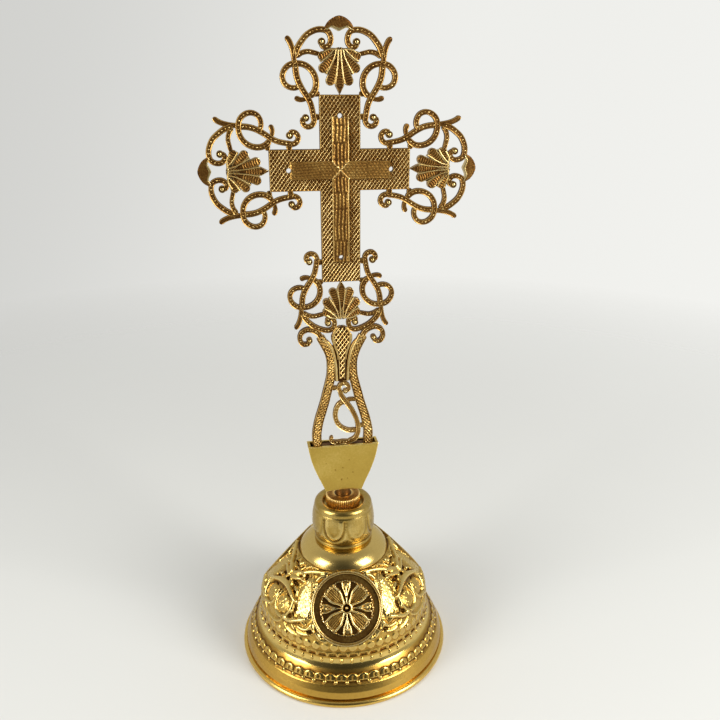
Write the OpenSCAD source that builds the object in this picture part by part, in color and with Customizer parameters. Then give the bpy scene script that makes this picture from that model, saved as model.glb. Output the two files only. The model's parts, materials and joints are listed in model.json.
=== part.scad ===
// Altar cross: a pierced brass hand cross that stands in a flat pocket on a domed base.
// The cross lies in the XZ plane and faces -Y. +Z is up and z = 0 is the table.

/* [Cross] */
// Height of the centre of the cross above the table
cross_z = 226.7; // [226:0.1:232]
// Width of the flat cross arms
arm_w = 16; // [15:0.5:17]
// Thickness of the flat cross
plate_t = 2.4; // [2:0.1:3]
// Half-width of the narrow cross on each face
overlay_hw = 3.4; // [3:0.1:4.5]
// Thickness of each narrow cross
overlay_t = 0.8; // [0.5:0.1:1.2]
// Radius of the four pin holes
pin_hole_r = 0.95; // [0.7:0.05:1.1]

/* [Scrollwork] */
// Thickness of the scroll ribbons, front to back
ribbon_t = 2.2; // [1.6:0.1:2.4]
// Thickness of the shells, front to back
palmette_t = 3.4; // [2.6:0.1:4]
// Thickness of the handle rails and foot tongue
rail_t = 3; // [2.6:0.1:3.2]

/* [Pocket] */
// Height of the pocket's mouth above the table
mouth_z = 106.2; // [106:0.1:107]
// Height of the pocket's bottom edge above the table
pocket_floor_z = 83; // [82.5:0.1:83.5]
// Thickness of the pocket from front to back
pocket_depth = 7; // [6.6:0.1:9]
// Thickness of the pocket's sheet
sheet_t = 1.2; // [0.8:0.1:1.3]

/* [Neck] */
// Radius of the knurled finger disc
disc_r = 8.05; // [7.6:0.05:8.4]
// Number of knurls on the finger disc
knurls = 56; // [40:1:70]
// Radius of the screw stud
stud_r = 4; // [3.5:0.1:4.4]
// Radial running clearance of the stud in its bush
stud_gap = 0.05; // [0.02:0.01:0.1]

/* [Base] */
// Radius of the foot over its wired rim
base_r = 50; // [49.5:0.1:50.5]
// Wall of the stamped dome
shell_wall = 1; // [0.8:0.1:1.1]
// Turn of the base's ornament away from the cross's front
base_turn = -5.5; // [-45:0.5:45]
// Radius of a medallion
medal_r = 16.4; // [15.5:0.1:17]

/* [Hidden] */
$fn = 64;

gold = [0.87, 0.66, 0.22];
satin = [0.80, 0.68, 0.32];
copper_gold = [0.80, 0.52, 0.24];
old_brass = [0.66, 0.48, 0.20];

// the flat cross: how far its arms reach from the centre
arm_reach = 28;
foot_reach = 45.3;
overlay_reach = 20;
overlay_foot = 36.7;
side_pin = 20.4;
top_pin = 20.3;
foot_pin = 35;
// the foot finial is a side finial moved outward by the longer lower arm
foot_shift = foot_reach - arm_reach - 0.3;

// stack of heights at the neck
seat_z = 74;
flange_t = 0.9;
thrust_gap = 0.1;
disc_bottom = seat_z + flange_t + thrust_gap;
disc_top = disc_bottom + 5;
crown_z = 57.1;
bush_r = 6;
bush_bottom = 48;

// ---- curves and ribbons ----

// point on a Catmull-Rom span from b to c at t
function span(a, b, c, d, t) =
    (2 * b + (c - a) * t + (2 * a - 5 * b + 4 * c - d) * t * t
     + (3 * b - a - 3 * c + d) * t * t * t) / 2;

// smooth path through pts, with n steps between neighbours
function smooth(pts, n = 4) =
    let (last = len(pts) - 1)
    [for (i = [0 : last - 1]) for (k = [0 : n - 1])
        span(pts[max(i - 1, 0)], pts[i], pts[i + 1], pts[min(i + 2, last)], k / n),
     pts[last]];

// unit normal, to the left of the path, at point i
function side(path, i) =
    let (d = path[min(i + 1, len(path) - 1)] - path[max(i - 1, 0)])
    [-d[1], d[0]] / norm(d);

// outline of a band along path that is w0 wide at its start and w1 at its end
function band(path, w0, w1) =
    let (last = len(path) - 1,
         half = [for (i = [0 : last]) side(path, i) * (w0 + (w1 - w0) * i / last) / 2])
    concat([for (i = [0 : last]) path[i] - half[i]],
           [for (i = [last : -1 : 0]) path[i] + half[i]]);

// closed outline from its right-hand side, given from the top down
function mirrored(right) =
    concat([for (p = right) [-p[0], p[1]]],
           [for (i = [len(right) - 1 : -1 : 0]) right[i]]);

// smooth ribbon through pts, with a round eye of radius eye at its end
module ribbon(pts, w0, w1, eye = 0) {
    polygon(band(smooth(pts), w0, w1));
    if (eye > 0) translate(pts[len(pts) - 1]) circle(eye, $fn = 24);
}

module both_sides() {
    children();
    mirror([1, 0]) children();
}

// plate of thickness t standing in the XZ plane, drawn about the centre of the cross
module upright(t) {
    translate([0, 0, cross_z]) rotate([90, 0, 0]) linear_extrude(t, center = true) children();
}

// ---- flat cross ----

module cross_shape(hw, reach, foot) {
    translate([-hw, -foot]) square([2 * hw, foot + reach]);
    translate([-reach, -hw]) square([2 * reach, 2 * hw]);
}

module pin_holes() {
    for (p = [[side_pin, 0], [-side_pin, 0], [0, top_pin], [0, -foot_pin]])
        translate([p[0], 10, cross_z + p[1]]) rotate([90, 0, 0]) cylinder(20, r = pin_hole_r);
}

module cross_plate() {
    color(old_brass) difference() {
        upright(plate_t) cross_shape(arm_w / 2, arm_reach, foot_reach);
        pin_holes();
    }
}

module overlay(facing) {
    color(old_brass) difference() {
        translate([0, facing * (plate_t + overlay_t) / 2, 0])
            upright(overlay_t) cross_shape(overlay_hw, overlay_reach, overlay_foot);
        pin_holes();
    }
}

// ---- finials, drawn pointing up from the centre of the cross ----

loop_path = [[11.6, 27.2], [10, 28.6], [9, 31], [9.2, 34], [10.6, 36.6], [13, 38.4], [16, 39],
             [19, 38.4], [21, 36.4], [21.6, 34], [20.8, 31.8], [19, 30.6], [16.9, 30.4],
             [15, 31.2]];
stem_path = [[16.6, 39], [16.5, 36], [15.8, 33], [14.3, 30], [12.6, 27.4], [11.3, 25],
             [10.6, 22.5], [10.2, 20], [10, 18.3], [10.9, 16.8], [12.6, 16.3], [14.1, 17.2],
             [14.4, 18.9], [13.2, 19.6]];
bud_path = [[12.8, 26.4], [15.2, 26.2], [17.2, 27]];
tendril_path = [[16.9, 38.8], [17.2, 42], [17.9, 45], [19, 47.2], [20.1, 48]];
arc_path = [[16.8, 41], [15.8, 44], [14.3, 46.4], [12, 48.9], [9, 50.4], [6.3, 50.7], [4.2, 50],
            [3.2, 48], [3.4, 46], [4.8, 44.7], [6.3, 45.1], [6.6, 46.5]];
// tabs that join the loops to the arm's end and the stems to the arm's sides
loop_tab = [[arm_w / 2 - 0.4, 28.4], [10.6, 28.2]];
stem_tab = [[arm_w / 2 - 0.4, 19.9], [10.4, 19.9]];
branch_path = [[16.4, 41.2], [14.2, 42.6], [11.8, 43.1], [9.5, 42.7], [7.4, 42.2]];

// the same outer arc on the foot finial, where it is lower and meets the rails
foot_arc_path = [[16.8, 41], [15.4, 44], [12.5, 47], [9.5, 48.7], [6.5, 49.6], [4.3, 49.3],
                 [3.2, 47.8], [3.1, 45.6], [4.5, 44.2], [6, 44.8], [5.8, 46.4]];

shell_foot = [0, 43.8];
lobes = [[3.5, 32.9, 1.75], [6.1, 37.4, 1.8], [6.4, 41.6, 1.7]];

// one rounded lobe of a shell, widening from the shell's foot
module lobe(tip, r) {
    d = tip - shell_foot;
    n = [-d[1], d[0]] / norm(d);
    polygon([shell_foot - n, tip - n * r, tip + n * r, shell_foot + n]);
    translate(tip) circle(r, $fn = 24);
}

module palmette_shape() {
    for (l = lobes, s = [-1, 1]) lobe([s * l[0], l[1]], l[2]);
    polygon([[-1.6, 43.4], [-1.7, 32.2], [-1, 29.8], [0, 28], [1, 29.8], [1.7, 32.2], [1.6, 43.4]]);
    polygon(mirrored([[3, 44.2], [5.4, 43.3], [6.4, 41.6]]));
}

// the same path below the cross, on its longer lower arm
function below(path) = [for (p = path) [p[0], -p[1] - foot_shift]];

// the right-hand half of a finial's scrollwork, each ribbon with its widths and its eye
module scroll_half(arc, down = false) {
    for (r = [[loop_path, 2.4, 2, 0], [stem_path, 2.4, 2, 1.4], [bud_path, 1.5, 2.3, 0],
              [tendril_path, 1.9, 2.1, 0], [arc, 2.3, 2, 1.4], [branch_path, 2, 1.7, 0],
              [loop_tab, 2.6, 2.2, 0], [stem_tab, 2.6, 2.6, 0]])
        ribbon(down ? below(r[0]) : r[0], r[1], r[2], r[3]);
}

module crest_shape() {
    polygon(concat([[-5.5, 51]],
                   smooth([[-5.5, 51.2], [-4.3, 53.2], [-2.3, 54.7], [0, 55.4],
                           [2.3, 54.7], [4.3, 53.2], [5.5, 51.2]]),
                   smooth([[5.5, 51], [4.6, 50.6], [3, 51.4], [1.2, 50.7], [0, 50.2],
                           [-1.2, 50.7], [-3, 51.4], [-4.6, 50.6]])));
}

module finial_shape(arc) {
    difference() {
        both_sides() scroll_half(arc);
        palmette_shape();
        translate([-arm_w / 2, 0]) square([arm_w, arm_reach]);
    }
}

// places a finial that was drawn pointing up: turn is 0 up, 90 to -X, -90 to +X, 180 down
module at_arm(turn) {
    rotate(turn) translate([0, turn == 180 ? foot_shift : 0]) children();
}

module side_finial(turn) {
    color(old_brass) upright(ribbon_t) at_arm(turn) finial_shape(arc_path);
}

module palmette(turn) {
    color(old_brass) upright(palmette_t) at_arm(turn) difference() {
        palmette_shape();
        translate([-5, 0]) square([10, arm_reach + (turn == 180 ? 0.3 : 0)]);
    }
}

module crest(turn) {
    color(old_brass) upright(ribbon_t + 0.6) at_arm(turn) difference() {
        crest_shape();
        both_sides() ribbon(arc_path, 2.3, 2, 1.4);
    }
}

module finial_bottom() {
    color(old_brass) upright(ribbon_t) difference() {
        both_sides() scroll_half(foot_arc_path, down = true);
        at_arm(180) palmette_shape();
        translate([-arm_w / 2, -foot_reach]) square([arm_w, foot_reach]);
        rails_shape();
        cone_shape();
    }
}

// ---- handle ----

// rise of the pocket's bottom edge at its middle
floor_bow = 0.6;

volute_path = [[8.6, -70.4], [10.3, -67.6], [12.6, -66.2], [15, -65.9], [17.3, -67.3], [18, -70],
               [16.8, -72.2], [14.6, -72.2], [13.9, -70.7]];
// ribs that run from the rails' tops down beside the spindle
rib_path = [[8.6, -70.6], [6.3, -72.1], [4.6, -74.6], [3.4, -78.8], [2.7, -84], [2.4, -90]];
rail_path = [[9.2, -69.6], [7.4, -73], [5.8, -76.5], [4.9, -80], [4.7, -84], [5, -88],
             [5.9, -92], [6.9, -96], [7.9, -100], [9.1, -104], [10.3, -108], [11.2, -112],
             [11.7, -116], [11.4, -122.5]];
cone_side = [[0.8, -64.8], [2.5, -65.8], [4.3, -69], [4.3, -71], [3.3, -74], [2.2, -77],
             [1.5, -80], [1.3, -89]];
vine_path = [[-0.8, -94.6], [-0.6, -96.6], [0.3, -98.4], [2, -101], [4, -104], [5.5, -107],
             [6.6, -110], [7.1, -113], [7, -115.8], [5.8, -118.6], [2.5, -120.4]];
vine_loop_path = [[2.6, -101], [0.6, -100.4], [-1.4, -101.4], [-2.7, -103.6], [-3.2, -107],
                  [-2.3, -110.5], [0, -113.2], [3, -114.6], [6.6, -114.6]];
vine_curl_path = [[-0.8, -95.2], [-1.5, -93.6], [-0.6, -91.8], [1.2, -91.5], [2.7, -92.6],
                  [2.8, -94.4], [1.4, -95.2]];

// the handle's foot: a solid tongue that narrows with the pocket
tongue_top = mouth_z - cross_z - 0.4;
tongue_bottom = pocket_floor_z + floor_bow + sheet_t + 0.1 - cross_z;
tongue_side = [[13.3, tongue_top], [12.3, tongue_top - 7], [9.7, tongue_top - 14.5],
               [7, tongue_bottom + 1.5], [6, tongue_bottom]];

// path on the right (s = 1) or left (s = -1) of the upright
function on_side(path, s) = [for (p = path) [s * p[0], p[1]]];

// the two rails, each opening into a volute at its top
module rails_only() {
    for (s = [-1, 1]) {
        polygon(band(smooth(on_side(rail_path, s)), 3.7, 4.2));
        ribbon(on_side(volute_path, s), 2.3, 1.9, 1.3);
    }
}

module rails_shape() {
    rails_only();
    polygon(mirrored(smooth(tongue_side)));
}

// spindle, with a web and two ribs that run up to the rails
module cone_shape() {
    difference() {
        union() {
            polygon(mirrored(smooth(cone_side)));
            polygon(mirrored([[1, -72], [4.4, -74], [4.6, -76.5], [4.2, -84], [4.4, -89],
                              [1, -90.5]]));
            for (s = [-1, 1]) ribbon(on_side(rib_path, s), 2.2, 1.4);
        }
        rails_only();
    }
}

module vine_shape() {
    difference() {
        union() {
            ribbon(vine_path, 2.3, 2.1);
            ribbon(vine_loop_path, 2.2, 2.1);
            ribbon(vine_curl_path, 2, 1.7, 1.1);
            // leaves and ties that bridge the vine to the rails and the web
            ribbon([[-4.6, -94], [-3, -93.4], [-1, -94.2]], 2, 1.6);
            ribbon([[1.4, -100.2], [3.6, -99.4], [6.4, -99.6]], 1.8, 1.6);
            ribbon([[6.6, -112.6], [8.4, -112.6], [10, -112.2]], 1.8, 1.8);
            ribbon([[0.5, -90], [1.3, -91], [1.6, -92]], 2.4, 1.6);
            ribbon([[3, -120.4], [0, -120], [-2.6, -120.3], [-4.8, -119.5], [-5.3, -118.1],
                    [-4.4, -117.1]], 2, 1.5);
        }
        rails_shape();
        cone_shape();
    }
}

module handle_rails() {
    color(old_brass) upright(rail_t) rails_shape();
}

module handle_cone() {
    color(old_brass) upright(ribbon_t) cone_shape();
}

module handle_vine() {
    color(old_brass) upright(ribbon_t) vine_shape();
}

// ---- pocket ----

pocket_w = 32;
pocket_foot_w = 16.6;

// outline of the pocket, inset by d and carried rise above its mouth; z is the second coordinate
module pocket_shape(d = 0, rise = 0) {
    top = mouth_z + rise;
    drop = mouth_z - pocket_floor_z;
    half = [[pocket_w / 2 - d, top], [14.6 - d, top - drop * 0.3], [12.4 - d, top - drop * 0.58],
            [10 - d, top - drop * 0.82], [pocket_foot_w / 2 - d, pocket_floor_z + d],
            [2, pocket_floor_z + d + floor_bow]];
    polygon(mirrored(concat(smooth([for (i = [0 : 4]) half[i]]), [half[5]])));
}

module pocket_slab(y0, y1) {
    translate([0, y1, 0]) rotate([90, 0, 0]) linear_extrude(y1 - y0) children();
}

module pocket_front() {
    color(satin) pocket_slab(-pocket_depth / 2, -pocket_depth / 2 + sheet_t) pocket_shape();
}

module pocket_tray() {
    color(satin) difference() {
        pocket_slab(-pocket_depth / 2 + sheet_t, pocket_depth / 2) pocket_shape();
        pocket_slab(-pocket_depth / 2, pocket_depth / 2 - sheet_t) pocket_shape(sheet_t, 1);
    }
}

// ---- screw and finger disc ----

module holder_stud() {
    color(copper_gold) {
        translate([0, 0, bush_bottom + 4]) cylinder(disc_top - bush_bottom - 4, r = stud_r);
        // brazed neck between the disc and the pocket
        difference() {
            translate([0, 0, disc_top - 1])
                cylinder(pocket_floor_z + floor_bow + 1 - disc_top, r = 3.4);
            pocket_slab(-pocket_depth / 2, pocket_depth / 2) pocket_shape();
        }
    }
}

module knurled_disc() {
    knurl_depth = 0.35;
    step = 180 / knurls;
    color(copper_gold) translate([0, 0, disc_bottom]) linear_extrude(disc_top - disc_bottom)
        difference() {
            polygon([for (i = [0 : 2 * knurls - 1])
                (disc_r - (i % 2) * knurl_depth) * [cos(i * step), sin(i * step)]]);
            circle(stud_r);
        }
}

// ---- neck ----

module tube(z0, z1, outer, inner) {
    translate([0, 0, z0]) rotate_extrude() translate([inner, 0]) square([outer - inner, z1 - z0]);
}

module neck_bush() {
    color(gold) {
        tube(bush_bottom, seat_z, bush_r, stud_r + stud_gap);
        tube(seat_z, seat_z + flange_t, 7.8, stud_r + stud_gap);
    }
}

module collar() {
    // barrel with a foot bead, a swelling body and a rolled top, down to the flat seat
    outside = concat([[13.2, crown_z], [13.6, 58.4], [13.2, 59.4]],
                     smooth([[13.5, 60], [14.3, 63], [14.5, 65.7], [14.4, 69], [13.8, 73.4]]),
                     smooth([[13.5, 73.8], [13.4, 75.4], [12.6, 76.6], [11.2, 77],
                             [9.8, 76.5], [9, 75.2], [8.8, seat_z]]));
    inside = [[bush_r, seat_z], [bush_r, seat_z - 1], [9.8, seat_z - 1], [10.6, 75.2],
              [12, 75], [12.4, 73.2], [13.3, 69], [13.4, 65.7], [13.2, 63], [12.1, 59],
              [12.1, crown_z]];
    color(gold) rotate_extrude() polygon(concat(outside, inside));
}

// ---- base ----

rim_wire_r = 1.4;
// height at which the spun foot and the stamped dome meet, face to face
split_z = 20;

// middle of the sheet from the foot up to the crown
shell_path = concat([[47.3, 1], [47.4, 2.6], [47.8, 3.6], [47.2, 6.2], [46, 8.8],
                     [45, 9.5], [44.4, 10.6], [43.2, 12.8], [42.4, 13.8]],
                    smooth([[41.4, 14.9], [40.4, 17], [40, 19.6]]),
                    smooth([[39.7, 20.4], [39.5, 23.4], [39.1, 28], [38, 31.8], [35.9, 35.7],
                            [32.8, 39.7], [28.9, 43.8], [24.7, 47.6], [21, 50.8]]),
                    smooth([[20.6, 51.1], [19.6, 53.1], [17.6, 55], [15, 56.4], [12.6, 56.6]]),
                    [[bush_r, crown_z - shell_wall / 2]]);

module shell_section() {
    difference() {
        polygon(band(shell_path, shell_wall, shell_wall));
        translate([0, crown_z]) square([60, 10]);
        square([bush_r, 80]);
        square([60, 0.6]);
    }
}

// a medallion's plane leans back with the dome; its centre is at this radius and height
medal_lean = 54;
medal_at = [30.8, 0, 38.8];

module at_medals() {
    for (i = [0 : 2])
        rotate(-90 + base_turn + 120 * i) translate(medal_at) rotate([0, medal_lean, 0]) children();
}

module medallion() {
    tube(-3, 0.7, medal_r, medal_r - 1.2);
    tube(-1.9, -0.9, medal_r - 0.6, 0);
    tube(-1.2, 0.1, 12, 0);
    tube(-1.2, 0.8, 1.7, 0);
}

module base_foot() {
    color(gold) rotate_extrude($fn = 96) intersection() {
        shell_section();
        square([60, split_z]);
    }
}

module base_dome() {
    color(gold) difference() {
        union() {
            difference() {
                rotate_extrude($fn = 96) difference() {
                    shell_section();
                    square([60, split_z]);
                }
                at_medals() translate([0, 0, -4]) cylinder(12, r = medal_r - 0.6);
            }
            at_medals() medallion();
        }
        translate([0, 0, 52]) cylinder(20, r = bush_r);
    }
}

module rim_ring() {
    color(gold) rotate_extrude($fn = 96) difference() {
        translate([base_r - rim_wire_r, 1.15]) circle(rim_wire_r, $fn = 32);
        translate([0, -3]) square([60, 3]);
        shell_section();
    }
}

module clamp_washer() {
    color(satin) tube(crown_z - shell_wall - 1.2, crown_z - shell_wall, 10.5, bush_r);
}

module clamp_nut() {
    color(satin) difference() {
        translate([0, 0, crown_z - shell_wall - 6.2]) cylinder(5, r = 10.4, $fn = 6);
        translate([0, 0, 40]) cylinder(20, r = bush_r);
    }
}

base_foot();
base_dome();
rim_ring();
collar();
neck_bush();
clamp_washer();
clamp_nut();
holder_stud();
knurled_disc();
pocket_front();
pocket_tray();
cross_plate();
overlay(-1);  // overlay_front
overlay(1);  // overlay_back
side_finial(0);  // finial_top
side_finial(90);  // finial_left
side_finial(-90);  // finial_right
finial_bottom();
palmette(0);  // palmette_top
palmette(90);  // palmette_left
palmette(-90);  // palmette_right
palmette(180);  // palmette_bottom
crest(0);  // crest_top
crest(90);  // crest_left
crest(-90);  // crest_right
handle_rails();
handle_cone();
handle_vine();
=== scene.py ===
"""Altar cross: the looks of a pierced brass hand cross on a gilt, domed stand.

The cross stands in the XZ plane and faces -Y. Shapes are worked out in millimetres and
turned into metres when a piece is made.
"""

import json
import math

import bpy
import numpy as np
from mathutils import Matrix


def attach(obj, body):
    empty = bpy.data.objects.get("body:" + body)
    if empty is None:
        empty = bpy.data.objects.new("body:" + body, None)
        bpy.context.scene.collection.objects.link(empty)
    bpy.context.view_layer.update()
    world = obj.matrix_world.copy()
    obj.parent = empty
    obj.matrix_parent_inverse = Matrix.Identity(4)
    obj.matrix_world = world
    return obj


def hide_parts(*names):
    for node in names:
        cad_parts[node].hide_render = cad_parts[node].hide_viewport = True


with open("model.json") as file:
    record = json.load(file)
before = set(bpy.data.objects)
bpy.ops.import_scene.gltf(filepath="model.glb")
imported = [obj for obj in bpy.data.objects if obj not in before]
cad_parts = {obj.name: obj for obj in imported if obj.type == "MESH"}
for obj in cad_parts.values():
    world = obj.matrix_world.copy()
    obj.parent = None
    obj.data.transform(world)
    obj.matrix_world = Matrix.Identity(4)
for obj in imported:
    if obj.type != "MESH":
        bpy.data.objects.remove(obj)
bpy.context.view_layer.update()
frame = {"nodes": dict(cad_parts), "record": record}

MM = 0.001
TINY = 1e-9
FAR = 1e9
PINS = [m for m in frame["record"]["mounts"] if m["name"] == "pins_across"][0]
CROSS_Z = PINS["pos_m"][2] / MM  # height of the cross's centre
# each arm and its turn in degrees from pointing up
TURNS = (("top", 0), ("left", 90), ("right", -90), ("bottom", 180))
FOOT_SHIFT = 17.0  # the bottom finial stands this much farther out than the others


# ---- curves ----

def catmull(points, steps=8):
    """Smooth curve through 2-D points."""
    p = np.array(points, float)
    last = len(p) - 1
    t = np.arange(steps)[:, None] / steps
    out = []
    for i in range(last):
        a, b, c, d = p[max(i - 1, 0)], p[i], p[i + 1], p[min(i + 2, last)]
        out.append((2 * b + (c - a) * t + (2 * a - 5 * b + 4 * c - d) * t**2
                    + (3 * b - a - 3 * c + d) * t**3) / 2)
    out.append(p[-1:])
    return np.concatenate(out)


def arc_length(path):
    """Distance along a path at each of its points."""
    return np.concatenate([[0], np.cumsum(np.linalg.norm(np.diff(path, axis=0), axis=1))])


def evenly(path, step):
    """Points on a path at about the given step, and their distances along it."""
    s = arc_length(path)
    at = np.linspace(0, s[-1], max(int(round(s[-1] / step)), 2) + 1)
    return at_distance(path, at), at


def at_distance(path, at):
    """Points on a path at given distances along it."""
    s = arc_length(path)
    return np.stack([np.interp(at, s, path[:, 0]), np.interp(at, s, path[:, 1])], -1)


def around(columns):
    """Angle of each column of a ring."""
    return 2 * math.pi * np.arange(columns) / columns


def around_degrees(columns):
    """Angle of each column of a ring, in degrees."""
    return 360 * np.arange(columns) / columns


def left_normals(path):
    """Unit normals to the left of a path."""
    d = np.gradient(path, axis=0)
    n = np.stack([-d[:, 1], d[:, 0]], -1)
    return n / np.maximum(np.linalg.norm(n, axis=1, keepdims=True), TINY)


def distance_to(x, z, path, x_scale=1.0):
    """Distance of each point to a path, and the share of the path's length nearest to it."""
    p = np.array(path, float)
    s = arc_length(p) / max(arc_length(p)[-1], TINY)
    best = np.full(x.shape, FAR)
    share = np.zeros(x.shape)
    for i in range(len(p) - 1):
        ax, bx = p[i, 0] * x_scale, p[i + 1, 0] * x_scale
        az, bz = p[i, 1], p[i + 1, 1]
        length2 = np.maximum((bx - ax)**2 + (bz - az)**2, TINY)
        t = np.clip(((x - ax) * (bx - ax) + (z - az) * (bz - az)) / length2, 0, 1)
        d = np.hypot(x - ax - t * (bx - ax), z - az - t * (bz - az))
        near = d < best
        best = np.where(near, d, best)
        share = np.where(near, s[i] + t * (s[i + 1] - s[i]), share)
    return best, share


def dome(d, half):
    """Round cross-section: 1 in the middle, 0 at a distance of half."""
    return np.sqrt(np.clip(1 - (d / half)**2, 0, 1))


def edge_to_edge(*half):
    """Places across a strip from -1 to 1, from those between its middle and one edge."""
    half = np.array(half)
    return np.concatenate([-half[:0:-1], half])


def mirrored(half):
    """Rows from one edge to the middle, and on to the other edge with x negated."""
    half = np.array(half, float)
    return np.concatenate([half, half[-2::-1] * ([-1] + [1] * (half.shape[1] - 1))])


def ease(x, low, high):
    """Smooth step from 0 at low to 1 at high."""
    t = np.clip((x - low) / (high - low), 0, 1)
    return t * t * (3 - 2 * t)


def blur(h, passes):
    """Soft average of a height grid whose last column joins its first."""
    for _ in range(passes):
        pad = np.pad(h, ((1, 1), (0, 0)), mode="edge")
        h = (pad[:-2] + pad[1:-1] * 2 + pad[2:]) / 4
        pad = np.pad(h, ((0, 0), (1, 1)), mode="wrap")
        h = (pad[:, :-2] + pad[:, 1:-1] * 2 + pad[:, 2:]) / 4
    return h


def wear_and_shade_of(h, scale, passes, level):
    """Tone from a height grid, high on ridges and low in hollows: partly rubbing and patina,
    partly painted shade.
    """
    return np.clip(level + (h - blur(h, passes)) / scale, 0, 1)


# ---- meshes: a part is (vertices, faces, tone of rubbing and painted shade) ----

SHARP_FROM = 40  # degrees between faces
BEAD_SIDES = 8
BUTTON_SIDES = 20


def join(parts):
    """One part from several."""
    verts, faces, wear_and_shade, base = [], [], [], 0
    for v, f, w in parts:
        verts.append(v)
        wear_and_shade.append(w)
        faces.extend([[base + i for i in face] for face in f])
        base += len(v)
    return np.concatenate(verts), faces, np.concatenate(wear_and_shade)


def add_object(name, data):
    """New object in the scene, for a mesh, a light or a camera."""
    obj = bpy.data.objects.new(name, data)
    bpy.context.scene.collection.objects.link(obj)
    return obj


def piece(name, part, body, nodes, material):
    """Makes a visible piece that rides on a body and stands for CAD nodes."""
    verts, faces, wear_and_shade = part
    mesh = bpy.data.meshes.new(name)
    mesh.from_pydata((verts * MM).tolist(), [], [list(map(int, f)) for f in faces])
    # per-point tone from hollows to ridges: partly rubbing and patina, partly painted shade in the
    # hollows and painted highlight on the ridges
    layer = mesh.attributes.new("wear_and_shade", "FLOAT", "POINT")
    layer.data.foreach_set("value", wear_and_shade.astype(np.float32))
    mesh.shade_smooth()
    mesh.set_sharp_from_angle(angle=math.radians(SHARP_FROM))
    mesh.materials.append(material)
    obj = add_object(name, mesh)
    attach(obj, body)
    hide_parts(*nodes)


def grid_faces(index, keep=None, flip=False):
    """Four-sided faces over a grid of vertex numbers."""
    q = np.stack([index[:-1, :-1], index[1:, :-1], index[1:, 1:], index[:-1, 1:]], -1)
    q = q.reshape(-1, 4) if keep is None else q[keep]
    return q[:, ::-1] if flip else q


def wall_faces(front, back, keep, flip):
    """Faces from the front grid to the back grid around every kept cell's free edge."""
    pad = np.pad(keep, 1)
    cell = pad[1:-1, 1:-1]
    free = [(cell & ~pad[:-2, 1:-1], (0, 0), (0, 1)), (cell & ~pad[2:, 1:-1], (1, 1), (1, 0)),
            (cell & ~pad[1:-1, :-2], (1, 0), (0, 0)), (cell & ~pad[1:-1, 2:], (0, 1), (1, 1))]
    out = []
    for mask, a, b in free:
        i, j = np.nonzero(mask)
        p = (i + a[0], j + a[1])
        q = (i + b[0], j + b[1])
        face = np.stack([front[p], front[q], back[q], back[p]], -1)
        out.append(face[:, ::-1] if flip else face)
    return np.concatenate(out)


def compact(verts, faces, wear_and_shade):
    """A part without the vertices that none of its faces uses."""
    used = np.zeros(len(verts), bool)
    used[faces.ravel()] = True
    new = np.cumsum(used) - 1
    return verts[used], new[faces].tolist(), wear_and_shade[used]


def slab(at, front, back, wear_and_shade, keep=None):
    """Closed plate over a grid of (x, z) points, with its front and back half-thicknesses."""
    n, m = front.shape
    if keep is None:
        keep = np.ones((n - 1, m - 1), bool)
    d1 = at[1:, :-1] - at[:-1, :-1]
    d2 = at[:-1, 1:] - at[:-1, :-1]
    flip = bool(((d1[..., 0] * d2[..., 1] - d1[..., 1] * d2[..., 0]) * keep).sum() < 0)
    v_front = np.stack([at[..., 0], -front, at[..., 1]], -1).reshape(-1, 3)
    v_back = np.stack([at[..., 0], back, at[..., 1]], -1).reshape(-1, 3)
    i_front = np.arange(n * m).reshape(n, m)
    i_back = i_front + n * m
    faces = np.concatenate([grid_faces(i_front, keep, flip), grid_faces(i_back, keep, not flip),
                            wall_faces(i_front, i_back, keep, not flip)])
    both = np.concatenate([wear_and_shade.ravel(), wear_and_shade.ravel()])
    return compact(np.concatenate([v_front, v_back]), faces, both)


def cross_piece(name, part, cad_node):
    """Makes a piece of the hand cross, from a part drawn about the cross's centre."""
    verts, faces, wear_and_shade = part
    piece(name, (verts + [0, 0, CROSS_Z], faces, wear_and_shade), "cross", [cad_node],
          ANTIQUE)


def base_piece(name, part, cad_node, material):
    """Makes a gilt piece of the base."""
    piece(name, part, "base", [cad_node], material)


def turn_part(part, turn):
    """Turns a part drawn pointing up: 0 up, 90 to -X, -90 to +X, 180 down to the long foot."""
    verts, faces, wear_and_shade = part
    c, s = math.cos(math.radians(turn)), math.sin(math.radians(turn))
    x, z = verts[:, 0], verts[:, 2] + (FOOT_SHIFT if turn == 180 else 0)
    return np.stack([c * x - s * z, verts[:, 1], s * x + c * z], -1), faces, wear_and_shade


def ring_index(rows, columns):
    """Vertex numbers of a grid whose first column comes again after its last."""
    index = np.arange(rows * columns).reshape(rows, columns)
    return np.concatenate([index, index[:, :1]], 1)


def revolve(profile, relief, wear_and_shade):
    """Closed ring from an (r, z) profile that runs up its outside; relief stands on it."""
    r_z = np.array(profile, float)
    out = -left_normals(r_z)
    a = around(wear_and_shade.shape[1])
    r = r_z[:, :1] + out[:, :1] * relief
    z = r_z[:, 1:] + out[:, 1:] * relief
    verts = np.stack([r * np.cos(a), r * np.sin(a), z], -1).reshape(-1, 3)
    index = ring_index(*wear_and_shade.shape)
    index = np.concatenate([index, index[:1]], 0)
    return verts, grid_faces(index, flip=True).tolist(), wear_and_shade.ravel()


def lined_ring(outer, inner, h, wear_and_shade, inner_wear_and_shade):
    """Ring with relief, and a tone of rubbing and painted shade, on its outer profile and a plain
    inner one.
    """
    plain = np.zeros((len(inner), h.shape[1]))
    return revolve(np.concatenate([outer, inner]), np.concatenate([h, plain]),
                   np.concatenate([wear_and_shade, plain + inner_wear_and_shade]))


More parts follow.
